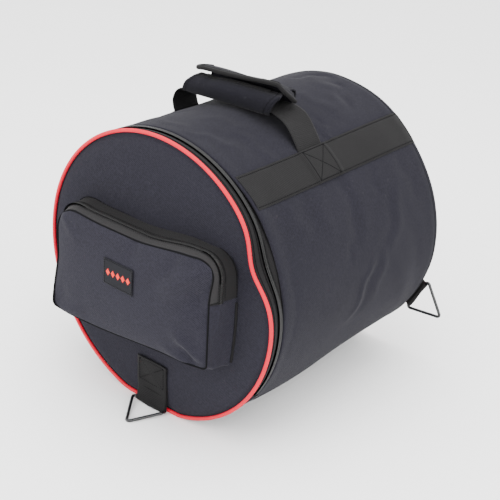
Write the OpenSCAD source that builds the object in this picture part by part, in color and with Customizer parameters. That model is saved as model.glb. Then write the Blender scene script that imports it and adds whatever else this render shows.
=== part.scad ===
// Padded carrying bag for a tom tom drum: a soft cylinder that lies on its side, with a zipped round lid,
// a zipped pocket on the lid, a wrapped carrying handle and triangular strap rings.
// Millimetres. +Z is up and the lid faces -Y. The origin is the middle of the flat the bag rests on.

/* [Body] */
// Outside diameter of the wall
body_d = 360; // [350:5:370]
// Length from the lid's face to the rear panel's face
body_l = 338; // [328:2:348]
// How far the underside is pressed flat
flat_depth = 3.5; // [3:0.5:5]
// Thickness of the outer cloth
cloth_t = 1.2; // [1:0.1:1.4]
// Thickness of the padding
foam_t = 7; // [5:0.5:8]
// Thickness of the lining
lining_t = 0.8; // [0.6:0.1:1]
// Diameter of the red piping
piping_d = 5.5; // [5:0.1:6]
// How far the rear piping is tucked in behind the wall's edge
rear_tuck = 5; // [4.5:0.1:5.5]

/* [Lid] */
// Angle from the top, either way, at which the lid's zip ends
zip_end_phi = 124; // [122:1:126]
// Angle from the top, either way, at which the lid folds
fold_phi = 117; // [115:1:118]
// Distance from the lid's face to the middle of its zip
zip_back = 15; // [15:0.5:16]

/* [Pocket] */
// Width of the pocket
pocket_w = 250; // [230:2:256]
// Height of the pocket
pocket_h = 142; // [138:1:148]
// Depth of the pocket
pocket_t = 44; // [40:1:46]
// Sideways shift of the pocket's middle
pocket_x = -5; // [-8:1:4]
// Height of the pocket's lower edge above the ground
pocket_z = 109; // [108:1:112]
// Radius of the pocket's upper right corner
pocket_r = 24; // [20:1:26]
// Radius of the pocket's upper left corner
pocket_left_r = 46; // [44:1:46]
// Height of the zipped, opening part of the pocket's front
flap_h = 48; // [47:0.5:50]

/* [Handle and bands] */
// Width of the webbing of the handle and of the bands
webbing_w = 45; // [40:1:50]
// Thickness of the webbing
webbing_t = 1.5; // [1.2:0.1:1.8]
// Angle from the top of the middle of the right band
band_right_phi = 39.6; // [38:0.2:42]
// Angle from the top of the middle of the left band
band_left_phi = -41.8; // [-43:0.2:-40]
// Length of the padded grip
grip_l = 138; // [130:2:142]
// Place of the handle along the bag
handle_y = -11.5; // [-20:0.5:20]

/* [Rings] */
// Width of the webbing loop that holds a ring
tab_w = 46; // [40:1:50]
// Radius of a ring's wire
wire_r = 1.9; // [1.5:0.1:2]
// Height of the ring's triangle
ring_h = 45; // [42:1:50]
// Angle from the top of the two rear rings
rear_ring_phi = 118; // [110:1:124]

/* [Hidden] */
$fn = 96;
body_r = body_d / 2;
axis_z = body_r - flat_depth;
lid_y = -body_l / 2;
rear_y = body_l / 2;
big = 600;
gap = 0.1;

// Layers of the wall, from the outside in
foam_r = body_r - cloth_t;
lining_r = foam_r - foam_t;
inner_r = lining_r - lining_t;

// Piping runs round both ends, and flat where the bag rests
piping_r = piping_d / 2;
piping_path_r = body_r - 0.6;
piping_low = piping_r + 0.15;
piping_clear = piping_r + gap + 0.05;
flat_phi = 180 - acos((axis_z - piping_low) / piping_path_r);
panel_r = piping_path_r - piping_r - gap;
panel_low = piping_low + piping_r + gap;
rear_path_r = body_r - rear_tuck;
rear_flat_phi = 180 - acos((axis_z - rear_tuck) / rear_path_r);
rear_panel_r = rear_path_r - piping_r - gap;

// Lid's zip: two toothed tapes with a slit that the slider's post runs in
zip_y = lid_y + zip_back;
slit = 0.6;
tooth_w = 2.5;
tooth_t = 2.6;
tape_t = 0.8;
tape_r = foam_r - gap - tape_t;
tooth_r = tape_r + tape_t;
gusset_end = lid_y + 7;
wall_start = zip_y + 6.5;
tape_end = zip_y + 9;
fold_z = axis_z + body_r * cos(fold_phi);
zip_end_z = axis_z + body_r * cos(zip_end_phi);
fold_y = lid_y - piping_r - 0.4;
fold_slit = 0.2;

// Slider of the lid's zip, parked below the fold
slider_phi = -(zip_end_phi + fold_phi) / 2;
slider_l = 12;
slider_w = 10.4;
plate_t = 1.4;
pull_l = 27;
post_t = 0.7;
play = 0.5;

// Pocket, its front and its zip
pocket_front = lid_y - pocket_t;
pocket_top = pocket_z + pocket_h;
pocket_left = pocket_x - pocket_w / 2;
pocket_right = pocket_x + pocket_w / 2;
pocket_fold_z = pocket_top - flap_h;
pocket_cloth = 1.4;
pocket_zip_y = lid_y - 0.55 * pocket_t;
pocket_tape_w = 7;
pocket_tooth_w = 1.9;
pocket_tooth_t = 1.8;
pocket_slit = 0.5;
pocket_slider_a = 6;

// Grip
grip_x = -21;
grip_z = axis_z + body_r + 16.2;
grip_h = 22;
grip_w = webbing_w + 11;
grip_cloth = 1.2;
grip_foam = 1.8;
flap_shift = 11.5;
flap_l = grip_l - 4;
flap_w = 34;
flap_t = 3.2;
flap_tilt = 9;
flap_hinge_y = handle_y + 14;
flap_hinge_z = grip_z + grip_h / 2 + 2.6;
strap_up = body_r + 11.4;

// Loops and rings
loop_r = wire_r + 2;
loop_bore = wire_r + 0.3;
tab_t = 2.8;
front_bar_y = lid_y - 7.3;
front_bar_z = loop_r + 0.4;
front_tab_top = 67;
rear_bar_r = body_r + 5.4;
rear_bar_y = rear_y + 4;
rear_tab_inner_r = body_r - 63;
ring_half = tab_w / 2 + 5.8;
ring_corner = 2.6;
bend_r = wire_r + 0.06;
front_ring_droop = asin((front_bar_z - wire_r - 0.1) / (ring_h - 2.7));

// Label on the pocket
label_w = 50;
label_h = 34;
label_x = -5.5;
label_z = pocket_fold_z - 23;

module cloth() color([0.055, 0.055, 0.065]) children();
module webbing() color([0.045, 0.045, 0.043]) children();
module foam() color([0.28, 0.28, 0.3]) children();
module lining() color([0.09, 0.09, 0.1]) children();
module red() color([0.85, 0.1, 0.13]) children();
module black_metal() color([0.03, 0.03, 0.035]) children();
module plastic() color([0.04, 0.04, 0.04]) children();

// An outline in X and Z, drawn out along Y from y0 to y1
module along_y(y0, y1) {
    translate([0, y1, 0]) rotate([90, 0, 0]) linear_extrude(y1 - y0) children();
}

// An outline in Y and Z, drawn out along X, centred on x
module along_x(w, x = 0) {
    translate([x - w / 2, 0, 0]) rotate([90, 0, 90]) linear_extrude(w) children();
}

// Round outline about the bag's axis, cut flat at a height above the ground
module round_flat(r, low) {
    difference() {
        translate([0, axis_z]) circle(r, $fn = 180);
        translate([-big / 2, low - big]) square(big);
    }
}

// Tube about the bag's axis with the same flat underneath
module flat_tube(outer, thickness, y0, y1) {
    along_y(y0, y1) difference() {
        round_flat(outer, body_r - outer);
        round_flat(outer - thickness, body_r - outer + thickness);
    }
}

module above(z) intersection() {
    children();
    translate([-big / 2, -big / 2, z]) cube(big);
}

module below(z) intersection() {
    children();
    translate([-big / 2, -big / 2, z - big]) cube(big);
}

// Children's profile, radius by Y, turned about the bag's axis from one angle to another
module turned(phi0, phi1) {
    translate([0, 0, axis_z]) rotate([-90, 0, 0]) rotate([0, 0, phi0 - 90])
        rotate_extrude(angle = phi1 - phi0, $fn = 180) children();
}

module band_arc(r0, r1, phi0, phi1, y0, y1) {
    turned(phi0, phi1) translate([r0, y0]) square([r1 - r0, y1 - y0]);
}

// Local frame on the wall: X along the wall, Y along the bag, Z outwards
module on_wall(phi, r, y) {
    translate([0, y, axis_z]) rotate([0, phi, 0]) translate([0, 0, r]) children();
}

module panel(y0, y1, r = panel_r, low = panel_low) {
    along_y(y0, y1) round_flat(r, low);
}

// Piping along one end, between two angles from the top
module piping_arc(y, phi0, phi1, r = piping_path_r) {
    turned(phi0, phi1) translate([r, y]) circle(piping_r, $fn = 32);
}

// Straight run of piping along the flat underneath
module piping_flat(y, r, low, phi) {
    half = r * sin(phi) + 0.8;
    translate([-half, y, low]) rotate([0, 90, 0]) cylinder(r = piping_r, h = 2 * half, $fn = 32);
}

// Piping below an angle: two rising ends and the flat run between them
module lower_piping(y, phi, r = piping_path_r, low = piping_low, end_phi = flat_phi) {
    piping_arc(y, phi, end_phi + 0.15, r);
    piping_arc(y, -end_phi - 0.15, -phi, r);
    piping_flat(y, r, low, end_phi);
}

// ---- Wall and rear ----

module wall_outer() cloth()
    flat_tube(body_r, cloth_t, wall_start, rear_y - 0.4);

module wall_foam() foam()
    flat_tube(foam_r - gap, foam_t - gap, tape_end + 0.2, rear_y - piping_clear);

module wall_lining() lining()
    flat_tube(lining_r - gap, lining_t - gap, tape_end + 0.2, rear_y - cloth_t - foam_t - gap);

module mouth_binding() cloth()
    flat_tube(tape_r - gap, tape_r - gap - inner_r, tape_end - 1.4, tape_end);

module rear_panel_outer() cloth()
    panel(rear_y - cloth_t, rear_y, rear_panel_r, body_r - rear_panel_r);

module rear_panel_foam() foam()
    panel(rear_y - cloth_t - foam_t, rear_y - cloth_t, lining_r - gap, body_r - lining_r + gap);

module rear_panel_lining() lining()
    panel(rear_y - cloth_t - foam_t - gap - lining_t, rear_y - cloth_t - foam_t - gap,
        inner_r - gap, body_r - inner_r + gap);

module rear_seam_binding() cloth()
    flat_tube(inner_r - gap, cloth_t, rear_y - cloth_t - foam_t - lining_t - 8, rear_y - cloth_t - foam_t
        - lining_t - 2 * gap);

module rear_piping() red() piping_arc(rear_y, 0.1 - fold_phi, fold_phi - 0.1, rear_path_r);
module rear_lower_piping() red()
    lower_piping(rear_y, fold_phi + 0.1, rear_path_r, rear_tuck, rear_flat_phi);

// A band runs the length of the wall and is raised where it covers an end of the handle's strap
module side_band(phi) webbing() {
    half_phi = webbing_w / body_r * 90 / PI;
    y0 = tape_end + 2;
    y1 = rear_y - 0.7;
    r0 = body_r + 0.05;
    r1 = r0 + webbing_t;
    under = (webbing_w + 1.2) / 2;
    cover = under + 1.5;
    difference() {
        band_arc(r0, r1, phi - half_phi, phi + half_phi, y0, y1);
        band_arc(r0 - 1, r1, phi - half_phi - 1, phi + half_phi + 1, handle_y - under, handle_y + under);
    }
    band_arc(r1, r1 + webbing_t, phi - half_phi, phi + half_phi, handle_y - cover, handle_y + cover);
}

module band_right() side_band(band_right_phi);
module band_left() side_band(band_left_phi);

// ---- Lid's zip ----

module lid_side_tape() flat_tube(tooth_r, tape_t, gusset_end - 3.5, zip_y - slit);
module lid_side_teeth() flat_tube(tooth_r + tooth_t, tooth_t, zip_y - slit - tooth_w, zip_y - slit);

module wall_zip_tape() plastic() above(zip_end_z)
    flat_tube(tooth_r, tape_t, zip_y + slit, tape_end - 1.6);

module wall_zip_teeth() plastic() above(zip_end_z)
    flat_tube(tooth_r + tooth_t, tooth_t, zip_y + slit, zip_y + slit + tooth_w);

module zip_lower_ends() plastic() above(zip_end_z) below(fold_z - fold_slit) {
    lid_side_tape();
    lid_side_teeth();
}

module zip_end_stops() black_metal()
    for (side = [-1, 1])
        on_wall(side * (zip_end_phi - 0.6), tooth_r + tooth_t + 0.1, zip_y)
            translate([-0.8, -3, 0]) cube([1.6, 6, 1.5]);

module zip_slider() black_metal() on_wall(slider_phi, 0, zip_y) {
    under = tape_r - play - plate_t;
    over = tooth_r + tooth_t + play;
    flange = slit + tooth_w + play;
    translate([-slider_l / 2, -slider_w / 2, over]) cube([slider_l, slider_w, plate_t]);
    translate([-slider_l / 2, -slider_w / 2, under]) cube([slider_l, slider_w, plate_t]);
    translate([slider_l / 2 - 2.5, -post_t / 2, under]) cube([2.5, post_t, over - under + plate_t]);
    for (side = [-1, 1])
        translate([-slider_l / 2, side > 0 ? flange : -slider_w / 2, tooth_r + play])
            cube([slider_l, slider_w / 2 - flange, over - tooth_r - play + gap]);
    translate([0, 0, over + plate_t]) slider_bail();
}

// Bail on a slider that the pull hangs from, with its hole along Y
bail_z = 2.6;

module slider_bail() {
    difference() {
        translate([-4, -1, -gap]) cube([8, 2, 5.2]);
        translate([0, -2, bail_z]) rotate([-90, 0, 0]) cylinder(r = 1.28, h = 4, $fn = 32);
    }
}

// Pull: two cheeks beside the bail, a pin through it, and a tab with a hole, hanging along -X
module pull(length) {
    translate([0, -2.6, 0]) rotate([-90, 0, 0]) cylinder(r = 1.2, h = 5.2, $fn = 32);
    for (side = [-1, 1]) {
        translate([0, side * 2.1 - 0.5, 0]) rotate([-90, 0, 0]) cylinder(r = 2, h = 1, $fn = 32);
        translate([-9, side * 2.1 - 0.5, -0.7]) cube([9, 1, 1.4]);
    }
    difference() {
        translate([-length, -3.4, -0.9]) cube([length - 8, 6.8, 1.8]);
        translate([-length + 4.2, 0, -2]) cylinder(r = 1.7, h = 4, $fn = 32);
    }
}

pivot_r = tooth_r + tooth_t + play + plate_t + bail_z;

// Hangs straight down from the parked slider, so it is turned back by the slider's own angle
module zip_pull() black_metal()
    on_wall(slider_phi, pivot_r, zip_y) rotate([0, -slider_phi - 90, 0]) pull(pull_l);

// ---- Lid: the part above the fold swings, the part below stays sewn to the wall ----

module lid_layer(y0, y1, r = panel_r) panel(lid_y + y0, lid_y + y1, r);

module lid_outer() cloth() above(fold_z + fold_slit) lid_layer(0, cloth_t);
module lid_foam() foam() above(fold_z + fold_slit) lid_layer(cloth_t, cloth_t + foam_t);
module lid_lining() lining() above(fold_z + fold_slit)
    lid_layer(cloth_t + foam_t + gap / 2, cloth_t + foam_t + lining_t, inner_r - gap);
module lid_binding() cloth() above(fold_z + fold_slit)
    flat_tube(panel_r, panel_r - inner_r, lid_y + cloth_t + foam_t + gap / 2, lid_y + cloth_t + foam_t + lining_t);
module lid_piping() red() piping_arc(lid_y, 0.4 - fold_phi, fold_phi - 0.4);
module lid_gusset() cloth() above(fold_z + fold_slit)
    flat_tube(body_r, cloth_t, lid_y + piping_clear, gusset_end);
module lid_zip_tape() plastic() above(fold_z + fold_slit) lid_side_tape();
module lid_zip_teeth() plastic() above(fold_z + fold_slit) lid_side_teeth();

module lid_lower_outer() cloth() below(fold_z - fold_slit) lid_layer(0, cloth_t);
module lid_lower_foam() foam() below(fold_z - fold_slit) lid_layer(cloth_t, cloth_t + foam_t);
module lid_lower_lining() lining() below(fold_z - fold_slit)
    lid_layer(cloth_t + foam_t + gap / 2, cloth_t + foam_t + lining_t, inner_r - gap);
module lid_lower_piping() red() lower_piping(lid_y, fold_phi + 0.4);

// Cloth that joins the lid's lower part to the wall below the ends of the zip
module hinge_gusset() cloth() {
    below(zip_end_z - gap) flat_tube(body_r, cloth_t, lid_y + piping_clear, wall_start - gap);
    below(fold_z - fold_slit) flat_tube(body_r, cloth_t, lid_y + piping_clear, gusset_end);
}

// ---- Pocket ----

// Front view of the pocket, pulled in by an amount: square below, with two different upper corners
module pocket_outline(inset) {
    x0 = pocket_left + inset;
    x1 = pocket_right - inset;
    z0 = pocket_z + inset;
    middle = pocket_left + pocket_left_r;
    translate([x0, z0]) square([x1 - x0, pocket_top - pocket_left_r - z0]);
    translate([middle, z0]) square([x1 - middle, pocket_top - pocket_r - z0]);
    translate([middle, z0]) square([pocket_right - pocket_r - middle, pocket_top - inset - z0]);
    translate([middle, pocket_top - pocket_left_r]) circle(pocket_left_r - inset);
    translate([pocket_right - pocket_r, pocket_top - pocket_r]) circle(pocket_r - inset);
}

// Wall that follows the pocket's outline, between two insets, open below a height
module pocket_rim(outer, inner, y0, y1, low = pocket_fold_z + fold_slit) {
    above(low) along_y(y0, y1) difference() {
        pocket_outline(outer);
        pocket_outline(inner);
    }
}

module pocket_front_lower() cloth() below(pocket_fold_z - fold_slit)
    along_y(pocket_front, pocket_front + pocket_cloth) pocket_outline(0);

module pocket_gusset() cloth() below(pocket_fold_z - fold_slit)
    along_y(pocket_front + pocket_cloth, lid_y - gap) difference() {
        pocket_outline(0);
        pocket_outline(pocket_cloth);
    }

module pocket_back_band() cloth()
    pocket_rim(0, pocket_cloth, pocket_zip_y + pocket_tape_w, lid_y - gap);

module pocket_zip_tape() plastic()
    pocket_rim(0.5, 1.3, pocket_zip_y + pocket_slit, pocket_zip_y + pocket_tape_w);

module pocket_zip_teeth() plastic()
    pocket_rim(0.5 - pocket_tooth_t, 0.5, pocket_zip_y + pocket_slit, pocket_zip_y + pocket_slit + pocket_tooth_w);

module flap_front() cloth() above(pocket_fold_z + fold_slit)
    along_y(pocket_front, pocket_front + pocket_cloth) pocket_outline(0);

module flap_band() cloth()
    pocket_rim(0, pocket_cloth, pocket_front + pocket_cloth, pocket_zip_y - pocket_tape_w);

module flap_zip_tape() plastic()
    pocket_rim(0.5, 1.3, pocket_zip_y - pocket_tape_w, pocket_zip_y - pocket_slit);

module flap_zip_teeth() plastic()
    pocket_rim(0.5 - pocket_tooth_t, 0.5, pocket_zip_y - pocket_slit - pocket_tooth_w, pocket_zip_y - pocket_slit);

// The label is sewn across the fold, so it is in two parts with room to fold between them
label_slit = 0.7;

module label() {
    translate([label_x - label_w / 2, pocket_front - 0.8 - gap / 2, label_z]) cube([label_w, 0.8, label_h]);
}

module label_patch() lining() below(pocket_fold_z - label_slit) label();
module label_top() lining() above(pocket_fold_z + label_slit) label();

pocket_slider_l = 9;
pocket_slider_w = 8;
pocket_plate_t = 1;
pocket_over = pocket_tooth_t - 0.5 + play;
pocket_under = -1.3 - play - pocket_plate_t;
pocket_pivot = pocket_over + pocket_plate_t + bail_z;

// Local frame on the rounded left corner: Z outwards, X up along the zip
module on_pocket_corner() {
    translate([pocket_left + pocket_left_r, pocket_zip_y, pocket_top - pocket_left_r])
        rotate([0, pocket_slider_a - 90, 0]) translate([0, 0, pocket_left_r]) children();
}

// The slider stays on the flap's side of the zip: only its top plate reaches over the other side
module pocket_slider() black_metal() on_pocket_corner() {
    flange = pocket_slit + pocket_tooth_w + play;
    translate([-pocket_slider_l / 2, -pocket_slider_w / 2, pocket_over])
        cube([pocket_slider_l, pocket_slider_w, pocket_plate_t]);
    translate([-pocket_slider_l / 2, -pocket_slider_w / 2, pocket_under])
        cube([pocket_slider_l, pocket_slider_w / 2 + 0.2, pocket_plate_t]);
    translate([pocket_slider_l / 2 - 2, -0.25, pocket_under])
        cube([2, 0.5, pocket_over - pocket_under + pocket_plate_t / 2]);
    translate([-pocket_slider_l / 2, -pocket_slider_w / 2, play - 0.3])
        cube([pocket_slider_l, pocket_slider_w / 2 - flange, pocket_over - play + 0.4]);
    translate([0, 0, pocket_over + pocket_plate_t]) slider_bail();
}

// The pull hangs straight down
module pocket_pull() black_metal() on_pocket_corner()
    translate([0, 0, pocket_pivot]) rotate([0, -pocket_slider_a, 0]) pull(22);

// ---- Handle ----

// Points that the strap passes through between the two bands, in X and in height above the bag's axis.
// The first and last only give the direction the strap starts and ends in.
foot_r = body_r + 0.85;
foot_half = 7.8;
right_foot = foot_r * [sin(band_right_phi - foot_half), cos(band_right_phi - foot_half)];
left_foot = foot_r * [sin(band_left_phi + foot_half), cos(band_left_phi + foot_half)];
strap_points = [right_foot + [7, -5], right_foot, [89, 163.5], [81, 173], [71, 181], [59, 187], [47, 190.2],
    [10, strap_up], [-60, strap_up], [-80, 191.2], [-91, 189.6], [-99, 184.5], [-103.5, 176], [-104.8, 166],
    [-103.5, 157], left_foot, left_foot + [-4.5, -6]];

// Smooth curve through a list of points, with a number of steps between each two
function through(pts, steps) = [for (i = [1 : len(pts) - 3]) for (s = [0 : steps - 1])
    let (t = s / steps, a = pts[i - 1], b = pts[i], c = pts[i + 1], d = pts[i + 2])
    0.5 * (2 * b + (c - a) * t + (2 * a - 5 * b + 4 * c - d) * t * t + (3 * b - a - 3 * c + d) * t * t * t)];

function whole(pts, steps) = concat(through(pts, steps), [pts[len(pts) - 2]]);

function side_step(pts, i) = let (d = pts[min(i + 1, len(pts) - 1)] - pts[max(i - 1, 0)]) [d[1], -d[0]] / norm(d);

// Ribbon of a thickness along a line of points
module ribbon(pts, thickness) {
    half = thickness / 2;
    polygon(concat([for (i = [0 : len(pts) - 1]) pts[i] + half * side_step(pts, i)],
        [for (i = [len(pts) - 1 : -1 : 0]) pts[i] - half * side_step(pts, i)]));
}

strap_w = webbing_w - 0.6;

module handle_strap() webbing()
    along_y(handle_y - strap_w / 2, handle_y + strap_w / 2) translate([0, axis_z])
        ribbon(whole(strap_points, 4), webbing_t - 0.1);

// Ends of the strap, sewn under the bands
module strap_ends() webbing() {
    band_arc(body_r + 0.1, body_r + webbing_t, band_right_phi - foot_half + 0.45, band_right_phi + 5,
        handle_y - strap_w / 2, handle_y + strap_w / 2);
    band_arc(body_r + 0.1, body_r + webbing_t, band_left_phi - 5, band_left_phi + foot_half - 0.45,
        handle_y - strap_w / 2, handle_y + strap_w / 2);
}

// Cross-section of the grip, in Y and Z: a flattened tube that is open along its top
module grip_section(inset) {
    r = grip_h / 2 - inset;
    flat = grip_w / 2 - grip_h / 2;
    translate([handle_y - flat, grip_z - r]) square([2 * flat, 2 * r]);
    for (side = [-1, 1]) translate([handle_y + side * flat, grip_z]) circle(r, $fn = 48);
}

module grip_slot() translate([handle_y - 6, grip_z]) square([18, grip_h]);

module grip_layer(outer, inner) {
    along_x(grip_l, grip_x) difference() {
        grip_section(outer);
        grip_section(inner);
        grip_slot();
    }
}

module grip_wrap() cloth() grip_layer(0, grip_cloth);
module grip_padding() foam() grip_layer(grip_cloth, grip_cloth + grip_foam);

module grip_loop_strip() plastic()
    along_x(grip_l - 30, grip_x) translate([handle_y - 14.5, grip_z + grip_h / 2 + 0.1]) square([8, 0.8]);

// Frame of the wrap's flap: it starts at the back of the grip and reaches forwards and up over the slot
module flap_frame() {
    translate([0, flap_hinge_y, flap_hinge_z]) rotate([-flap_tilt, 0, 0]) children();
}

module grip_flap() cloth() flap_frame()
    along_x(flap_l, grip_x + flap_shift) {
        translate([-flap_w, 0]) square([flap_w, flap_t]);
        circle(2.2, $fn = 32);
    }

module grip_flap_binding() webbing() flap_frame()
    along_x(flap_l, grip_x + flap_shift) difference() {
        translate([-flap_w - 1.2, -1]) square([7, flap_t + 2]);
        translate([-flap_w - 0.05, -0.05]) square([8, flap_t + 0.1]);
    }

module grip_hook_strip() plastic() flap_frame()
    along_x(flap_l - 30, grip_x + flap_shift) translate([-flap_w + 6.3, -0.9]) square([10, 0.8]);

// ---- Tabs and rings ----

// Section of the front tab, in Y and Z: flat on the lid, out over the piping and round the ring's bar
module front_tab() webbing() along_x(tab_w) difference() {
    union() {
        translate([lid_y - tab_t - gap, 13]) square([tab_t, front_tab_top - 13]);
        polygon([[lid_y - gap, 13.2], [lid_y - tab_t - gap, 13.2], [front_bar_y - loop_r + 0.4, front_bar_z + 1.5],
            [front_bar_y + loop_r - 0.5, front_bar_z + 1.5]]);
        translate([front_bar_y, front_bar_z]) circle(loop_r, $fn = 48);
    }
    translate([front_bar_y, front_bar_z]) circle(loop_bore, $fn = 48);
}

// The same tab on the rear panel, with its loop outside the rim
module rear_tab(phi) webbing() translate([0, 0, axis_z]) rotate([0, phi, 0]) along_x(tab_w) difference() {
    union() {
        polygon([[rear_y + gap, rear_tab_inner_r], [rear_y + gap + tab_t, rear_tab_inner_r],
            [rear_y + gap + tab_t, body_r - 12.8], [rear_bar_y + 2, body_r - 8.4], [rear_bar_y + 3, body_r - 2.5],
            [rear_bar_y + 3.3, rear_bar_r - 0.9], [rear_y + piping_r + 0.45, rear_bar_r - 0.9],
            [rear_y + piping_r + 0.45, body_r - 7.2], [rear_y + gap, body_r - 11.4]]);
        translate([rear_bar_y, rear_bar_r]) circle(loop_r, $fn = 48);
    }
    translate([rear_bar_y, rear_bar_r]) circle(loop_bore, $fn = 48);
}

module rear_tab_right() rear_tab(rear_ring_phi);
module rear_tab_left() rear_tab(-rear_ring_phi);

// Wire triangle in X and Y with its bar on the X axis and its point at -Y. The bends are a little fuller
// than the straight runs, which are sunk into them.
module wire_ring() {
    base_angle = atan(ring_h / ring_half);
    tip_half = 90 - base_angle;
    base_in = ring_corner / tan(base_angle / 2);
    tip_in = ring_corner / tan(tip_half);
    side_l = norm([ring_half, ring_h]);
    bar_l = 2 * (ring_half - base_in) + 0.6;
    translate([-bar_l / 2, 0, 0]) rotate([0, 90, 0]) cylinder(r = wire_r, h = bar_l, $fn = 32);
    for (side = [-1, 1]) {
        translate([side * ring_half, 0, 0]) rotate([0, 0, side > 0 ? 180 + base_angle : -base_angle])
            rotate([0, 90, 0]) translate([0, 0, base_in - 0.3])
                cylinder(r = wire_r, h = side_l - base_in - tip_in + 0.6, $fn = 32);
        translate([side * (ring_half - base_in), -ring_corner, 0]) rotate([0, 0, side > 0 ? base_angle - 90 : 90])
            wire_bend(180 - base_angle);
    }
    translate([0, -ring_h + ring_corner / sin(tip_half), 0]) rotate([0, 0, 180 + tip_half])
        wire_bend(180 - 2 * tip_half);
}

module wire_bend(turn) {
    rotate_extrude(angle = turn, $fn = 64) translate([ring_corner, 0]) circle(bend_r, $fn = 32);
}

module front_ring() black_metal()
    translate([0, front_bar_y, front_bar_z]) rotate([front_ring_droop, 0, 0]) wire_ring();

module rear_ring(phi) black_metal()
    translate([0, rear_bar_y, axis_z]) rotate([0, phi, 0]) translate([0, 0, rear_bar_r]) rotate([-90, 0, 0]) wire_ring();

module rear_ring_right() rear_ring(rear_ring_phi);
module rear_ring_left() rear_ring(-rear_ring_phi);

wall_outer();
wall_foam();
wall_lining();
mouth_binding();
rear_panel_outer();
rear_panel_foam();
rear_panel_lining();
rear_seam_binding();
rear_piping();
rear_lower_piping();
band_right();
band_left();
strap_ends();
wall_zip_tape();
wall_zip_teeth();
zip_lower_ends();
zip_end_stops();
hinge_gusset();
lid_lower_outer();
lid_lower_foam();
lid_lower_lining();
lid_lower_piping();
front_tab();
rear_tab_right();
rear_tab_left();
lid_outer();
lid_foam();
lid_lining();
lid_binding();
lid_piping();
lid_gusset();
lid_zip_tape();
lid_zip_teeth();
pocket_front_lower();
pocket_gusset();
pocket_back_band();
pocket_zip_tape();
pocket_zip_teeth();
label_patch();
label_top();
flap_front();
flap_band();
flap_zip_tape();
flap_zip_teeth();
handle_strap();
grip_wrap();
grip_padding();
grip_loop_strip();
grip_flap();
grip_flap_binding();
grip_hook_strip();
front_ring();
rear_ring_right();
rear_ring_left();
zip_slider();
zip_pull();
pocket_slider();
pocket_pull();
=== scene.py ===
import math

import bpy
import numpy as np
from mathutils import Matrix, Vector


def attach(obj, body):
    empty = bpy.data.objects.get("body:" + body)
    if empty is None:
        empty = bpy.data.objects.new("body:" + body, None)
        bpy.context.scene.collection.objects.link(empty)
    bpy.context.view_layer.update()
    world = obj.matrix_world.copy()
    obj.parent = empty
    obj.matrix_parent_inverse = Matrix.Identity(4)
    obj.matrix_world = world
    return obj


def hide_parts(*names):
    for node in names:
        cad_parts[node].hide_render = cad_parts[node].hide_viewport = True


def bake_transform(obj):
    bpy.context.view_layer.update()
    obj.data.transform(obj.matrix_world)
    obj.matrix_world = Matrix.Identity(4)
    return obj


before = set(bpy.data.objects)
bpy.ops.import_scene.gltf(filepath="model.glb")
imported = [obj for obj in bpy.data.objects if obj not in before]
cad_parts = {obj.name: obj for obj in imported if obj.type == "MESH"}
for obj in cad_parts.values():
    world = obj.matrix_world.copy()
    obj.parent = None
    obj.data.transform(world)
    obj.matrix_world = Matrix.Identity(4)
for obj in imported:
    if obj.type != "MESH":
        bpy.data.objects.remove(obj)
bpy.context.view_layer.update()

# Sizes in metres, as in the CAD part
AXIS_Z = 0.1765
R = 0.180
LID = -0.169
REAR = 0.169
ZIP_Y = -0.154
HANDLE_Y = -0.0115
GRIP_Z = 0.3727
POCKET_FRONT = -0.213
POCKET_FOLD = 0.203
BAND_RIGHT, BAND_LEFT = 39.6, -41.8  # degrees from the top
REAR_TABS = (("right", 118.0), ("left", -118.0))
BEAD = 0.1794  # radius of the line that the lid's piping follows

# Sizes of the soft pieces in metres
SKIN = 0.0003  # how far the soft cloth lies outside the plain wall
WEBBING_HALF = 0.00068
PIPING_R = 0.0023
BAND_HALF, TAB_HALF = 0.0225, 0.023
RING_WIRE = 0.0020
TOUCH_TAPE = 0.0008
rng = np.random.default_rng(7)


# ---------------------------------------------------------------- camera
eye = Vector((0.763, -0.9435, 0.7557))
look = Vector((-0.5608, 0.6998, -0.4425)).normalized()
side = look.cross(Vector((0, 0, 1))).normalized()
upward = side.cross(look)
roll = 0.059
r_axis = side * math.cos(roll) + upward * math.sin(roll)
u_axis = -side * math.sin(roll) + upward * math.cos(roll)
camera_data = bpy.data.cameras.new("camera")
camera_data.lens = 74.7
camera_data.sensor_width = 36.0
camera = bpy.data.objects.new("camera", camera_data)
bpy.context.scene.collection.objects.link(camera)
rotation = [[r_axis[k], u_axis[k], -look[k]] for k in range(3)]
camera.matrix_world = Matrix.Translation(eye) @ Matrix(rotation).to_4x4()
bpy.context.scene.camera = camera


# ---------------------------------------------------------------- small helpers
def rad(a):
    return np.radians(a)


def smooth(a, b, x):
    t = np.clip((x - a) / (b - a), 0, 1)
    return t * t * (3 - 2 * t)


def bell(x, centre, width):
    return np.exp(-(((x - centre) / width) ** 2))


def unit(v):
    n = np.linalg.norm(v, axis=-1, keepdims=True)
    return v / np.where(n < 1e-12, 1, n)


def noise_field(seed, waves=7, low=20.0, high=70.0):
    """Smooth random function of two lengths in metres, about -1 to 1."""
    g = np.random.default_rng(seed)
    k = g.uniform(low, high, waves)
    a = g.uniform(0, 2 * math.pi, waves)
    p = g.uniform(0, 2 * math.pi, waves)
    return lambda s, y: sum(np.sin(k[i] * (np.cos(a[i]) * s + np.sin(a[i]) * y) + p[i])
                            for i in range(waves)) / math.sqrt(waves)


def build(name, verts, faces, material, uvs=None):
    mesh = bpy.data.meshes.new(name)
    mesh.from_pydata([tuple(v) for v in verts], [], faces)
    mesh.validate()
    if uvs is not None:
        layer = mesh.uv_layers.new(name="UVMap")
        layer.data.foreach_set("uv", np.asarray(uvs, np.float32).ravel())
    mesh.polygons.foreach_set("use_smooth", [True] * len(mesh.polygons))
    mesh.materials.append(material)
    obj = bpy.data.objects.new(name, mesh)
    bpy.context.scene.collection.objects.link(obj)
    return obj


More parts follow.
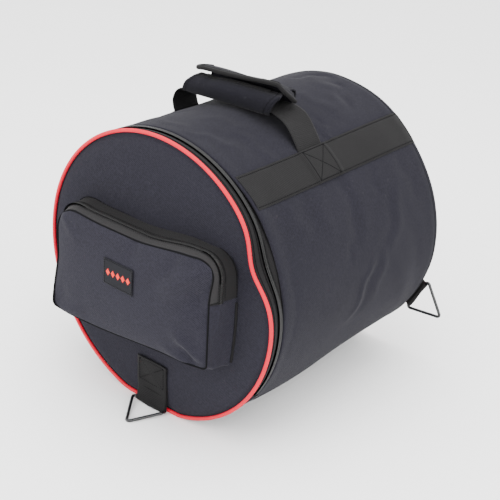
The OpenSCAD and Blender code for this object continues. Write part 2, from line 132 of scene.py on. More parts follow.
def grid(name, points, material, uv=None, close_u=False, close_v=False, flip=False):
    """Surface through an n by m array of points. UVs are lengths in metres."""
    p = np.asarray(points, float)
    n, m = p.shape[:2]
    if uv is None:
        du = np.zeros((n, m))
        dv = np.zeros((n, m))
        du[1:] = np.cumsum(np.linalg.norm(np.diff(p, axis=0), axis=2), axis=0)
        dv[:, 1:] = np.cumsum(np.linalg.norm(np.diff(p, axis=1), axis=2), axis=1)
        u = du.mean(1, keepdims=True) + 0 * du
        v = dv.mean(0, keepdims=True) + 0 * dv
    else:
        u, v = uv
    nu, nv = (n if close_u else n - 1), (m if close_v else m - 1)
    i, j = np.meshgrid(np.arange(nu), np.arange(nv), indexing="ij")
    i, j = i.ravel(), j.ravel()
    i2, j2 = (i + 1) % n, (j + 1) % m
    faces = np.stack([i * m + j, i2 * m + j, i2 * m + j2, i * m + j2], 1)
    if close_u:
        step = np.linalg.norm(p[0] - p[-1], axis=1).mean()
        u = np.vstack([u, u[-1:] + step])
        v = np.vstack([v, v[:1]])
    if close_v:
        step = np.linalg.norm(p[:, 0] - p[:, -1], axis=1).mean()
        u = np.hstack([u, u[:, :1]])
        v = np.hstack([v, v[:, -1:] + step])
    corner = [(i, j), (i + 1, j), (i + 1, j + 1), (i, j + 1)]
    uvs = np.stack([np.stack([u[a, b], v[a, b]], 1) for a, b in corner], 1)
    if flip:
        faces, uvs = faces[:, ::-1], uvs[:, ::-1]
    return build(name, p.reshape(-1, 3), faces.tolist(), material, uvs.reshape(-1, 2))


ANGLES = np.linspace(0, 2 * math.pi, 17)[:-1]
CIRCLE = np.stack([np.cos(ANGLES), np.sin(ANGLES)], 1)


def rounded_section(width, height, corner):
    """Closed rounded rectangle as an array of 2D points, starting at its +x side."""
    r, steps = corner, 4
    out = []
    for sx, sy, start in ((1, 1, 0), (-1, 1, 90), (-1, -1, 180), (1, -1, 270)):
        for k in range(steps + 1):
            a = rad(start + 90 * k / steps)
            out.append((sx * (width / 2 - r) + r * math.cos(a), sy * (height / 2 - r) + r * math.sin(a)))
    return np.array(out)


def sweep(name, centres, across, normal, section, material, closed=False):
    """A closed 2D section carried along a line of points."""
    c, a, b = (np.asarray(x, float) for x in (centres, across, normal))
    s = np.asarray(section, float)
    if s.ndim == 2:
        s = np.repeat(s[None], len(c), 0)
    p = c[:, None] + s[..., :1] * a[:, None] + s[..., 1:] * b[:, None]
    obj = grid(name, p, material, close_u=closed, close_v=True)
    if not closed:
        m = s.shape[1]
        n = len(c)
        mesh = obj.data
        verts = [tuple(v.co) for v in mesh.vertices]
        faces = [tuple(f.vertices) for f in mesh.polygons]
        uv = np.zeros(len(mesh.loops) * 2, np.float32)
        mesh.uv_layers[0].data.foreach_get("uv", uv)
        uv = uv.reshape(-1, 2).tolist()
        for row, order in ((0, -1), (n - 1, 1)):
            ring = list(range(row * m, row * m + m))[::order]
            faces.append(tuple(ring))
            uv += [[s[row, k % m, 0], s[row, k % m, 1]] for k in ring]
        bpy.data.objects.remove(obj)
        obj = build(name, verts, faces, material, uv)
    return obj


def line_frames(path, guide):
    """Across and normal along a line, with the normal kept close to guide."""
    p = np.asarray(path, float)
    t = unit(np.gradient(p, axis=0))
    g = np.broadcast_to(np.asarray(guide, float), p.shape)
    across = unit(np.cross(t, g))
    return across, unit(np.cross(across, t))


def closed_frames(line, guide):
    """The same along a closed line."""
    t = unit(np.roll(line, -1, 0) - np.roll(line, 1, 0))
    across = unit(np.cross(t, guide))
    return across, unit(np.cross(across, t))


def beside(u, v, start, end):
    """Share along the line from start to end, and distance off it, of the points u, v."""
    du, dv = end[0] - start[0], end[1] - start[1]
    length = math.hypot(du, dv)
    t = ((u - start[0]) * du + (v - start[1]) * dv) / length ** 2
    return t, (-(u - start[0]) * dv + (v - start[1]) * du) / length


def crossed_box(half, low, high):
    """Seam lines of a box with its diagonals: each is two ends in two lengths."""
    a, b, c, d = (-half, low), (half, low), (half, high), (-half, high)
    return [(*p, *q) for p, q in ((a, b), (b, c), (c, d), (d, a), (a, c), (d, b))]


def resample(path, step):
    p = np.asarray(path, float)
    d = np.concatenate([[0], np.cumsum(np.linalg.norm(np.diff(p, axis=0), axis=1))])
    n = max(2, int(round(d[-1] / step)) + 1)
    at = np.linspace(0, d[-1], n)
    return np.stack([np.interp(at, d, p[:, k]) for k in range(p.shape[1])], 1)


def curve_through(points, steps=8):
    p = np.asarray(points, float)
    q = np.vstack([2 * p[0] - p[1], p, 2 * p[-1] - p[-2]])
    out = []
    for i in range(1, len(q) - 2):
        a, b, c, d = q[i - 1], q[i], q[i + 1], q[i + 2]
        for s in range(steps):
            t = s / steps
            out.append(0.5 * (2 * b + (c - a) * t + (2 * a - 5 * b + 4 * c - d) * t * t
                              + (3 * b - a - 3 * c + d) * t ** 3))
    return np.array(out + [p[-1]])


def joined(name, shapes, material):
    """One mesh from many small copies: shapes is a list of (verts, faces)."""
    verts, faces, base = [], [], 0
    for v, f in shapes:
        verts.append(v)
        faces += [tuple(base + k for k in q) for q in f]
        base += len(v)
    return build(name, np.concatenate(verts), faces, material)


def blob_shape():
    """A stitch of length 2 and radius 1: three rings of six points between two tips."""
    verts = [(-1, 0, 0)]
    for x, r in ((-0.72, 0.75), (0.0, 1.0), (0.72, 0.75)):
        verts += [(x, r * math.cos(a), r * math.sin(a)) for a in np.linspace(0, 2 * math.pi, 7)[:-1]]
    verts.append((1, 0, 0))
    faces = [(0, 1 + (k + 1) % 6, 1 + k) for k in range(6)]
    for a in (1, 7):
        faces += [(a + k, a + (k + 1) % 6, a + 6 + (k + 1) % 6, a + 6 + k) for k in range(6)]
    faces += [(19, 13 + k, 13 + (k + 1) % 6) for k in range(6)]
    return np.array(verts, float), faces


BLOB = blob_shape()
# Pitch, length and thickness of the stitches
STITCH = {"wall": (0.0036, 0.0027, 0.00042), "zip": (0.0034, 0.0025, 0.00032),
          "webbing": (0.0034, 0.0026, 0.0004), "grip": (0.0032, 0.0024, 0.0004),
          "pocket_zip": (0.0034, 0.0026, 0.0003), "pocket": (0.0036, 0.0027, 0.0004),
          "label": (0.0030, 0.0022, 0.0003)}
THREAD_LIFT = 0.0001


def sew(name, path, normal, body, kind):
    """Row of separate thread stitches along a line."""
    pitch, length, thick = STITCH[kind]
    p = resample(np.hstack([np.asarray(path, float), np.broadcast_to(normal, np.shape(path))]), pitch)
    pos, nor = p[:, :3], unit(p[:, 3:])
    verts, faces = BLOB
    shapes = []
    mid = (pos[1:] + pos[:-1]) / 2
    t = unit(pos[1:] - pos[:-1])
    for k in range(len(mid)):
        n = unit(nor[k] - np.dot(nor[k], t[k]) * t[k])
        s = np.cross(n, t[k])
        along = verts[:, :1] * t[k] * length * 0.5 * rng.uniform(0.9, 1.08)
        blob = along + verts[:, 1:2] * s * thick + verts[:, 2:] * n * thick * 0.75
        shapes.append((mid[k] + THREAD_LIFT * n + blob, faces))
    return put(joined(name, shapes, m_thread), body)


def teeth(name, path, side, normal, material, pitch, reach, width, height, phase=0.0):
    """Row of zip teeth along a line: side points from the tape to the slit."""
    p = resample(np.hstack([path, side, normal]), pitch)
    box = np.array([(x, y, z) for x in (-1, 1) for y in (0, 1) for z in (0, 1)], float)
    faces = [(0, 1, 3, 2), (4, 6, 7, 5), (0, 4, 5, 1), (2, 3, 7, 6), (0, 2, 6, 4), (1, 5, 7, 3)]
    shapes = []
    for k in range(len(p) - 1):
        a = p[k] * (1 - phase) + p[k + 1] * phase
        pos, sd, n = a[:3], unit(a[3:6]), unit(a[6:9])
        t = np.cross(sd, n)
        w = width * (1 - 0.28 * box[:, 1] - 0.12 * box[:, 2])
        v = (pos + (box[:, :1] * w[:, None] / 2) * t + (box[:, 1:2] * reach) * sd
             + (box[:, 2:] * height * (1 - 0.2 * box[:, 1:2])) * n)
        shapes.append((v, faces))
    return joined(name, shapes, material)


# ---------------------------------------------------------------- materials
class Graph:
    def __init__(self, name):
        self.material = bpy.data.materials.new(name)
        self.material.use_nodes = True
        self.tree = self.material.node_tree
        self.tree.nodes.clear()

    def add(self, kind, settings=None, **inputs):
        node = self.tree.nodes.new("ShaderNode" + kind)
        for k, v in (settings or {}).items():
            setattr(node, k, v)
        for k, v in inputs.items():
            key = int(k[1:]) if k[0] == "i" and k[1:].isdigit() else k.replace("_", " ")
            socket = node.inputs[key]
            if isinstance(v, bpy.types.NodeSocket):
                self.tree.links.new(v, socket)
            elif isinstance(v, bpy.types.Node):
                self.tree.links.new(v.outputs[0], socket)
            else:
                socket.default_value = v
        return node

    def math(self, op, a, b=0.5, c=0.5):
        return self.add("Math", {"operation": op}, i0=a, i1=b, i2=c)

    def mix(self, factor, a, b):
        node = self.tree.nodes.new("ShaderNodeMix")
        node.data_type = "RGBA"
        for key, v in (("Factor", factor), ("A", a), ("B", b)):
            sockets = [s for s in node.inputs if s.name == key and s.enabled]
            if isinstance(v, bpy.types.Node):
                v = v.outputs[0]
            if isinstance(v, bpy.types.NodeSocket):
                self.tree.links.new(v, sockets[0])
            else:
                sockets[0].default_value = (*v, 1) if isinstance(v, tuple) and len(v) == 3 else v
        return [o for o in node.outputs if o.enabled][0]

    def noise(self, vector, scale, detail=3.0, rough=0.55):
        node = self.add("TexNoise", Vector=vector, Scale=scale, Detail=detail, Roughness=rough)
        return node.outputs["Fac"]

    def ramp(self, value, low, high):
        """Value spread from low..high to 0..1."""
        return self.add("MapRange", i0=value, i1=low, i2=high, i3=0.0, i4=1.0).outputs[0]

    def finish(self, colour, roughness, height, strength=0.6, distance=0.0006, normal=None, **extra):
        bump = self.add("Bump", Strength=strength, Distance=distance, Height=height)
        if normal is not None:
            self.tree.links.new(normal.outputs[0], bump.inputs["Normal"])
        shader = self.add("BsdfPrincipled", Base_Color=colour, Roughness=roughness, Normal=bump)
        for k, v in extra.items():
            shader.inputs[k.replace("_", " ")].default_value = v
        out = self.add("OutputMaterial")
        self.tree.links.new(shader.outputs[0], out.inputs[0])
        return self.material


def shade(colour, k):
    return tuple(min(1.0, c * k) for c in colour)


def cloth(name, colour, cell=0.0011, contrast=0.3, rough=0.92, wrinkle=0.5):
    """Plain-woven polyester: a raised crossing in every cell, slubs, speckle, faint dust and creases."""
    g = Graph(name)
    uv = g.add("TexCoord").outputs["UV"]
    place = g.add("TexCoord").outputs["Object"]
    parts = g.add("SeparateXYZ", Vector=uv)
    k = math.pi / cell
    u = g.math("SINE", g.math("MULTIPLY", parts.outputs[0], k))
    v = g.math("SINE", g.math("MULTIPLY", parts.outputs[1], k))
    weave = g.math("MULTIPLY_ADD", g.math("MULTIPLY", u, v), 0.5, 0.5)
    slub = g.noise(place, 700.0, 2.0)
    patch = g.noise(place, 9.0, 4.0, 0.6)
    crease = g.noise(place, 38.0, 3.0, 0.5)
    dust = g.ramp(g.noise(place, 160.0, 5.0, 0.75), 0.62, 0.78)
    dark, light = shade(colour, 1 - contrast), shade(colour, 1 + contrast)
    tone = g.mix(weave, dark, light)
    tone = g.mix(g.math("MULTIPLY", g.ramp(patch, 0.3, 0.75), 0.3), tone, shade(colour, 1.55))
    speck = g.ramp(g.noise(place, 420.0, 3.0, 0.6), 0.42, 0.62)
    tone = g.mix(g.math("MULTIPLY", speck, 0.5), tone, shade(colour, 1.7))
    tone = g.mix(g.math("MULTIPLY", dust, 0.045), tone, (0.32, 0.32, 0.33))
    height = g.math("ADD", g.math("MULTIPLY", weave, 0.5), g.math("MULTIPLY", slub, 0.6))
    creased = g.add("Bump", Strength=wrinkle, Distance=0.0022, Height=crease)
    roughness = g.math("MULTIPLY_ADD", slub, 0.22, rough - 0.11)
    return g.finish(tone, roughness, height, 0.8, 0.0005, creased, Sheen_Weight=0.03, Sheen_Roughness=0.5,
                    Specular_IOR_Level=0.05)


def tape(name, colour, rib=0.0016, fine=0.0009, contrast=0.3, strength=0.8):
    """Woven tape or webbing: ribs across its length, fine threads along it."""
    g = Graph(name)
    uv = g.add("TexCoord").outputs["UV"]
    place = g.add("TexCoord").outputs["Object"]
    wobble = g.math("MULTIPLY", g.noise(place, 300.0, 2.0), 0.0007)
    parts = g.add("SeparateXYZ", Vector=uv)
    along = g.math("SINE", g.math("MULTIPLY", g.math("ADD", parts.outputs[0], wobble), 2 * math.pi / rib))
    over = g.math("SINE", g.math("MULTIPLY", parts.outputs[1], 2 * math.pi / fine))
    ribs = g.math("MULTIPLY_ADD", along, 0.5, 0.5)
    threads = g.math("MULTIPLY_ADD", over, 0.5, 0.5)
    patch = g.noise(place, 14.0, 4.0, 0.6)
    fuzz = g.noise(place, 900.0, 2.0)
    tone = g.mix(g.math("MULTIPLY_ADD", ribs, 0.7, g.math("MULTIPLY", threads, 0.3)),
                 shade(colour, 1 - contrast), shade(colour, 1 + contrast))
    tone = g.mix(g.math("MULTIPLY", g.ramp(patch, 0.35, 0.8), 0.25), tone, shade(colour, 1.6))
    height = g.math("ADD", g.math("MULTIPLY_ADD", ribs, 0.6, g.math("MULTIPLY", threads, 0.25)),
                    g.math("MULTIPLY", fuzz, 0.25))
    waves = g.add("Bump", Strength=0.25, Distance=0.002, Height=g.noise(place, 30.0, 2.0))
    return g.finish(tone, g.math("MULTIPLY_ADD", fuzz, 0.2, 0.66), height, strength, 0.0004, waves,
                    Sheen_Weight=0.02, Sheen_Roughness=0.5, Specular_IOR_Level=0.06)


def smooth_stuff(name, colour, rough, grain, bump, metallic=0.0, worn=(0.2, 0.2, 0.2), worn_amount=0.15,
                 coat=0.0, spec=0.5):
    """Cast, moulded or painted material with grain, smudges and rubbed patches."""
    g = Graph(name)
    place = g.add("TexCoord").outputs["Object"]
    fine = g.noise(place, grain, 4.0, 0.6)
    smudge = g.noise(place, 45.0, 4.0, 0.6)
    rub = g.ramp(g.noise(place, 420.0, 6.0, 0.8), 0.62, 0.7)
    tone = g.mix(g.math("MULTIPLY", smudge, 0.5), shade(colour, 0.8), shade(colour, 1.25))
    tone = g.mix(g.math("MULTIPLY", rub, worn_amount), tone, worn)
    height = g.math("ADD", fine, g.math("MULTIPLY", rub, -0.4))
    roughness = g.math("MULTIPLY_ADD", smudge, 0.25, rough - 0.12)
    return g.finish(tone, roughness, height, 0.5, bump, Metallic=metallic, Coat_Weight=coat,
                    Specular_IOR_Level=spec)


def fuzz_tape(name, colour, scale):
    """Hook or loop tape: a dense field of tiny loops."""
    g = Graph(name)
    place = g.add("TexCoord").outputs["Object"]
    cells = g.add("TexVoronoi", Vector=place, Scale=scale)
    fuzz = g.noise(place, scale * 1.3, 4.0, 0.7)
    tone = g.mix(fuzz, shade(colour, 0.6), shade(colour, 2.2))
    height = g.math("ADD", cells.outputs["Distance"], fuzz)
    return g.finish(tone, g.math("MULTIPLY_ADD", fuzz, 0.1, 0.85), height, 1.0, 0.0009, Sheen_Weight=0.05,
                    Specular_IOR_Level=0.04)


CLOTH = (0.0110, 0.0105, 0.0147)
OLIVE = (0.0088, 0.0085, 0.0088)
m_wall = cloth("WallCloth", shade(CLOTH, 0.82), contrast=0.4, wrinkle=0.3)
m_lid = cloth("LidCloth", CLOTH, cell=0.00115, contrast=0.7, wrinkle=0.2)
m_pocket = cloth("PocketCloth", shade(CLOTH, 1.12), cell=0.00115, contrast=0.7, wrinkle=0.25)
m_grip = cloth("GripCloth", shade(CLOTH, 0.5), contrast=0.2, wrinkle=0.35)
m_lining = cloth("LiningCloth", (0.012, 0.012, 0.0135), cell=0.0008, contrast=0.2, rough=0.6, wrinkle=0.7)
m_webbing = tape("Webbing", OLIVE, rib=0.0021, fine=0.0011)
m_tape = tape("ZipTape", shade(OLIVE, 1.12), rib=0.0011, fine=0.0008, contrast=0.18, strength=0.5)
# Lit copy of the zip tape for the pocket's front band: about twice as light, as painted light for the band
# catching more light than the tape behind the zip
m_band_lit_copy = tape("PocketTapePaintedLight", shade(OLIVE, 2.1), rib=0.0010, fine=0.0008, contrast=0.14, strength=0.4)
m_binding = tape("BindingTape", shade(OLIVE, 0.85), rib=0.0012, fine=0.0009, contrast=0.2, strength=0.6)
m_thread = smooth_stuff("Thread", (0.0045, 0.0045, 0.005), 0.9, 1500.0, 0.0002, worn_amount=0.02, spec=0.04)
m_piping = smooth_stuff("Piping", (0.55, 0.006, 0.024), 0.6, 900.0, 0.0003, worn=(0.66, 0.05, 0.07),
                        worn_amount=0.3, spec=0.15)
m_teeth = smooth_stuff("ZipTeeth", (0.012, 0.012, 0.012), 0.5, 1100.0, 0.0001, worn_amount=0.06, spec=0.25)
m_metal = smooth_stuff("BlackWire", (0.004, 0.005, 0.006), 0.3, 300.0, 0.00015,
                       worn=(0.06, 0.06, 0.06), worn_amount=0.25, coat=0.3, spec=0.35)
m_cast = smooth_stuff("BlackCasting", (0.008, 0.008, 0.009), 0.35, 500.0, 0.0002, metallic=0.6,
                      worn=(0.3, 0.3, 0.3), worn_amount=0.3)
m_loop = fuzz_tape("LoopTape", (0.006, 0.006, 0.0065), 900.0)
m_hook = fuzz_tape("HookTape", (0.008, 0.008, 0.0085), 1300.0)
m_label = tape("LabelCloth", (0.0085, 0.0085, 0.0105), rib=0.0007, fine=0.0007, contrast=0.15,
               strength=0.35)
m_motif = tape("MotifThread", (0.55, 0.030, 0.020), rib=0.0008, fine=0.0006, contrast=0.2, strength=0.8)


def put(obj, body, *nodes, pad=None):
    """obj rides on a body, or for fold, pocket_fold and strap has its transform baked in place, and stands
    for CAD nodes.
    """
    if body == "fold":
        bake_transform(obj)
    elif body == "pocket_fold":
        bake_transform(obj)
    elif body == "strap":
        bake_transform(obj)
    else:
        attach(obj, body)
    if nodes:
        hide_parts(*nodes)
    return obj


# ---------------------------------------------------------------- shape of the soft wall and the lid's rim
ripple = noise_field(11, 9, 18, 62)
fine_ripple = noise_field(12, 9, 70, 150)

# Soft folds on the wall: two ends (degrees from the top, metres along), height, width
FOLDS = [
    ((47, 0.002), (70, 0.001), -0.0026, 0.009), ((49, 0.018), (72, 0.016), 0.0017, 0.010),
    ((70, -0.004), (78, -0.028), -0.0018, 0.007),
    ((60, 0.095), (82, 0.064), 0.0022, 0.008), ((60, 0.080), (80, 0.050), -0.0016, 0.008),
    ((84, 0.020), (104, -0.008), 0.0026, 0.005), ((84, 0.031), (104, 0.004), -0.0022, 0.007),
    ((80, 0.050), (100, 0.034), 0.0018, 0.006), ((95, -0.06), (112, 0.05), 0.0016, 0.012),
    ((48, -0.100), (62, -0.094), 0.0018, 0.010), ((48, -0.076), (60, -0.070), -0.0014, 0.009),
    ((48, -0.048), (66, -0.050), 0.0014, 0.010),
    ((48, 0.060), (60, 0.052), -0.0014, 0.007), ((49, 0.118), (66, 0.128), -0.0015, 0.008),
    ((-8, 0.112), (-2, 0.146), -0.0026, 0.006), ((-2, 0.146), (10, 0.131), -0.0024, 0.006),
    ((10, 0.131), (24, 0.094), -0.0028, 0.006), ((-4, 0.118), (12, 0.112), 0.0020, 0.009),
    ((14, 0.106), (24, 0.070), 0.0018, 0.008), ((4, 0.060), (20, 0.072), 0.0016, 0.007),
    ((-14, -0.123), (6, -0.131), 0.0016, 0.006), ((6, -0.131), (20, -0.108), 0.0020, 0.006),
    ((8, -0.112), (24, -0.084), -0.0022, 0.010), ((15, -0.082), (31, -0.078), 0.0016, 0.006),
    ((-2, -0.085), (14, -0.066), 0.0015, 0.008), ((26, -0.060), (32, -0.098), -0.0014, 0.008),
    ((26, 0.034), (33, 0.027), 0.0014, 0.005), ((20, 0.040), (31, 0.018), -0.0016, 0.006),
    ((75, 0.100), (112, 0.150), -0.0020, 0.010), ((88, 0.075), (118, 0.128), 0.0022, 0.010),
    ((104, -0.030), (124, 0.070), -0.0018, 0.011), ((66, -0.128), (110, -0.132), -0.0010, 0.006),
    ((-60, -0.110), (-82, -0.060), 0.0020, 0.010), ((-58, 0.020), (-90, 0.052), -0.0022, 0.010),
    ((-62, 0.090), (-96, 0.110), 0.0020, 0.009), ((-88, -0.020), (-118, 0.040), 0.0020, 0.011),
    ((-30, 0.080), (-10, 0.060), 0.0016, 0.008), ((-34, -0.090), (-12, -0.070), -0.0016, 0.009),
    ((-100, -0.100), (-126, -0.040), -0.0018, 0.010), ((-75, 0.130), (-120, 0.140), 0.0016, 0.009),
]


def swell(phi, y):
    """Height of the soft wall above its true radius. phi is in degrees from the top."""
    s = rad(phi) * R
    out = 0.0006 * ripple(s, y) + 0.0001 * fine_ripple(s, y)
    for (p0, y0), (p1, y1), height, width in FOLDS:
        t, off = beside(s, y, (rad(p0) * R, y0), (rad(p1) * R, y1))
        off = off + 0.0035 * np.sin(2.6 * math.pi * t + 40 * p0)
        ends = smooth(-0.25, 0.2, t) * (1 - smooth(0.8, 1.25, t))
        out = out + 0.55 * height * bell(off, 0, width * 1.25) * ends
    out = out + 0.0006 * bell(y, 0.156, 0.012)
    out = out + 0.0021 * bell(phi, 50, 15) * (1 - smooth(-0.148, -0.118, y))
    under = smooth(128, 150, np.abs(phi))
    out = out * (1 - 0.85 * under)
    top, side = bell(phi, 12, 42), bell(phi, 98, 34) + bell(phi, -98, 34)
    rear = smooth(-0.02, 0.125, y) * (1 - 0.3 * smooth(0.150, 0.168, y))
    out = out + (0.0074 * top + 0.0050 * side) * rear
    lower = bell(phi, 140, 17) + bell(phi, -140, 17)
    out = out + 0.0068 * lower * bell(y, -0.045, 0.085) * smooth(-0.150, -0.120, y)
    return out - 0.0004


def dent(phi):
    """How far the lid's soft rim is pushed in, in metres."""
    return BEAD * (0.083 * np.exp(-((phi - 66) ** 2) / (2 * 8.3 ** 2))
                   + 0.018 * np.exp(-((phi - 58) ** 2) / (2 * 16 ** 2)))


def around(phi, r, y, low=None):
    """Points about the bag's axis, pressed flat at a height above the ground."""
    x = r * np.sin(rad(phi))
    z = AXIS_Z + r * np.cos(rad(phi))
    low = R - r if low is None else low
    z = low + 0.5 * ((z - low) + np.sqrt((z - low) ** 2 + 0.0016 ** 2))
    return np.stack(np.broadcast_arrays(x, y, z), -1)


def outward(phi):
    phi = np.asarray(phi, float)
    return np.stack([np.sin(rad(phi)), 0 * phi, np.cos(rad(phi))], -1)


PHI = np.linspace(-180, 180, 541)[:-1]
P2 = PHI[:, None]


def revolve(name, profile, material, body, *nodes, phi=PHI, closed=True, flip=False):
    """Surface round the axis from a list of (y, radius) where radius may be a function of the angle."""
    cols = []
    for y, r in profile:
        rr = r(phi) if callable(r) else np.full(len(phi), r)
        yy = y(phi) if callable(y) else y
        cols.append(around(phi, rr, yy))
    p = np.stack(cols, 1)
    length = np.concatenate([[0], np.cumsum(np.linalg.norm(np.diff(p, axis=1), axis=2).mean(0))])
    uv = (np.repeat(rad(phi)[:, None] * R, p.shape[1], 1), np.repeat(length[None], len(phi), 0))
    return put(grid(name, p, material, uv, close_u=closed, flip=flip), body, *nodes)


# ---------------------------------------------------------------- wall
front_edge = -0.1478
ys = np.concatenate([[front_edge + 0.004, front_edge - 0.0002, front_edge - 0.0011, front_edge - 0.0011,
                      front_edge - 0.0002, front_edge + 0.0012],
                     np.linspace(front_edge + 0.003, 0.1660, 210),
                     [0.1671, 0.1681, 0.1688, 0.1691, 0.1690]])
drop = np.concatenate([[-0.0030, -0.0028, -0.0020, -0.0009, 0.0002, 0.0007],
                       0.0007 - 0.0007 * smooth(0, 12, np.arange(210)),
                       [-0.0004, -0.0011, -0.0021, -0.0032, -0.0050]])
radius = R + swell(P2, ys[None]) + drop[None] + SKIN
wall = around(P2 + 0 * ys[None], radius, np.broadcast_to(ys, radius.shape), low=np.maximum(0, -drop)[None])
uv = (np.repeat(rad(PHI)[:, None] * R, len(ys), 1), np.broadcast_to(ys, radius.shape))
put(grid("wall_cloth", wall, m_wall, uv, close_u=True, flip=True), "shell", "wall_outer", pad=0.7)

# Hem stitching behind the wall's front edge and before the rear seam
for name, y in (("wall_front_stitching", front_edge + 0.0072), ("wall_rear_stitching", 0.1605)):
    ph = np.linspace(-140, 140, 900)
    sew(name, around(ph, R + swell(ph, y) + SKIN, y), outward(ph), "shell", "wall")

# Lining, with soft vertical waves, which also stands in for the padding behind it
lining_wave = noise_field(21, 8, 20, 60)
yl = np.linspace(-0.1449, 0.1597, 90)
rl = 0.1709 - 0.0006 + 0.0007 * lining_wave(rad(P2) * R, yl[None])
inner = around(P2 + 0 * yl[None], rl, np.broadcast_to(yl, rl.shape))
uv = (np.repeat(rad(PHI)[:, None] * R, len(yl), 1), np.broadcast_to(yl, rl.shape))
put(grid("wall_lining_cloth", inner, m_lining, uv, close_u=True), "shell", "wall_lining", "wall_foam")

revolve("mouth_binding_tape", [(-0.1442, 0.1704), (-0.1455, 0.1702), (-0.1463, 0.1709), (-0.1465, 0.1740),
                               (-0.1463, 0.1772), (-0.1456, 0.1777), (-0.1450, 0.1774)],
        m_binding, "shell", "mouth_binding")
ph = np.linspace(-180, 180, 900)
sew("mouth_binding_stitching", around(ph, 0.1722, -0.1466), (0, -1, 0), "shell", "wall")

# Rear panel, its lining and the bound inside seam
rings = np.array([0.0, 0.06, 0.2, 0.4, 0.6, 0.75, 0.86, 0.92, 0.96, 0.985, 1.0])
rings = np.interp(np.linspace(0, 10, 61), np.arange(11), rings)
panel_wave = noise_field(31, 8, 14, 50)


def disc(phi, rings, edge, low):
    """Round panel as rings of points from the middle out, pressed flat at its edge."""
    rim = around(phi, edge, 0.0, low=low)
    mid = np.array([0, 0, AXIS_Z])
    return mid + rings[None, :, None] * (rim - mid)[:, None]


p = disc(PHI, rings, 0.1733, 0.0068)
edge_drop = smooth(0.93, 1.0, rings)
p[..., 1] = REAR + 0.0016 * (1 - 2 * edge_drop[None]) + 0.0007 * panel_wave(p[..., 0], p[..., 2])
put(grid("rear_panel_cloth", p, m_lid, (p[..., 0], p[..., 2]), close_u=True, flip=True), "shell",
    "rear_panel_outer", pad=0.7)
p = disc(PHI, rings[::3], 0.1705, 0.0098)
p[..., 1] = REAR - 0.0092 + 0.0005 * panel_wave(p[..., 0] + 0.3, p[..., 2])
put(grid("rear_panel_lining_cloth", p, m_lining, (p[..., 0], p[..., 2]), close_u=True), "shell",
    "rear_panel_lining", "rear_panel_foam")
revolve("rear_seam_tape", [(0.1596, 0.1706), (0.1596, 0.1694), (0.1560, 0.1692), (0.1524, 0.1694),
                           (0.1516, 0.1703)], m_binding, "shell", "rear_seam_binding")


def bead(name, y, path_r, phi, shift, low, body, *nodes):
    """Round piping along an end, with a slight ripple from its stitching."""
    r = path_r - shift(phi)
    c = around(phi, r, np.full(len(phi), y), low=low)
    a, b = closed_frames(c, (0, -1, 0))
    s = rad(phi) * R
    ripple_r = PIPING_R * (1 + 0.018 * np.sin(s * 2 * math.pi / 0.0042) + 0.02 * np.sin(s * 55))
    section = ripple_r[:, None, None] * CIRCLE
    return put(sweep(name, c, a, b, section, m_piping, closed=True), body, *nodes)


def no_dent(phi):
    return 0 * phi


full = np.linspace(-180, 180, 1441)[:-1]
bead("rear_bead", REAR + 0.0007, 0.175, full, no_dent, 0.005, "shell", "rear_piping", "rear_lower_piping")
bead("lid_bead", LID, BEAD, full, dent, 0.0029, "fold", "lid_piping", "lid_lower_piping")

# Thin welt between the rear piping and its panel
revolve("rear_welt", [(REAR - 0.0006, 0.1786), (REAR + 0.0001, 0.1776), (REAR - 0.0002, 0.1765),
                      (REAR - 0.0004, 0.1730)], m_tape, "shell")


# ---------------------------------------------------------------- lid panel, gusset and zip
lid_wave = noise_field(41, 8, 12, 40)


def lid_y(x, z):
    """Front face of the soft lid panel."""
    r = np.hypot(x, z - AXIS_Z) / 0.177
    return LID - 0.0012 * (1 - smooth(0.92, 1.0, r)) - 0.0008 * lid_wave(x, z) * (1 - smooth(0.85, 1.0, r))


p = disc(PHI, rings, BEAD - 0.0012 - dent(PHI), 0.0046)
p[..., 1] = lid_y(p[..., 0], p[..., 2]) + 0.0019 * smooth(0.96, 1.0, rings)[None]
near = smooth(0.55, 1.0, rings)[None] * bell(P2, 67, 16)
p[..., 1] += 0.0045 * near - 0.003 * bell(rings[None], 0.72, 0.13) * bell(P2, 66, 20)
put(grid("lid_panel_cloth", p, m_lid, (p[..., 0], p[..., 2]), close_u=True), "fold", "lid_outer",
    "lid_lower_outer", pad=0.6)

p = disc(PHI, rings, 0.1702 - dent(PHI), 0.0098)
p[..., 1] = LID + 0.0091 + 0.0005 * panel_wave(p[..., 0], p[..., 2] + 0.4)
put(grid("lid_lining_cloth", p, m_lining, (p[..., 0], p[..., 2]), close_u=True, flip=True), "fold",
    "lid_lining", "lid_lower_lining", "lid_foam", "lid_lower_foam")


def lid_r(r, share=1.0):
    """Radius that takes a share of the lid's dent."""
    return lambda phi: r - share * dent(phi)


revolve("lid_edge_binding", [(LID + 0.0086, lid_r(0.1702)), (LID + 0.0093, lid_r(0.1712)),
                             (LID + 0.0095, lid_r(0.1735)), (LID + 0.0092, lid_r(0.1760)),
                             (LID + 0.0082, lid_r(0.1768))], m_binding, "fold", "lid_binding")

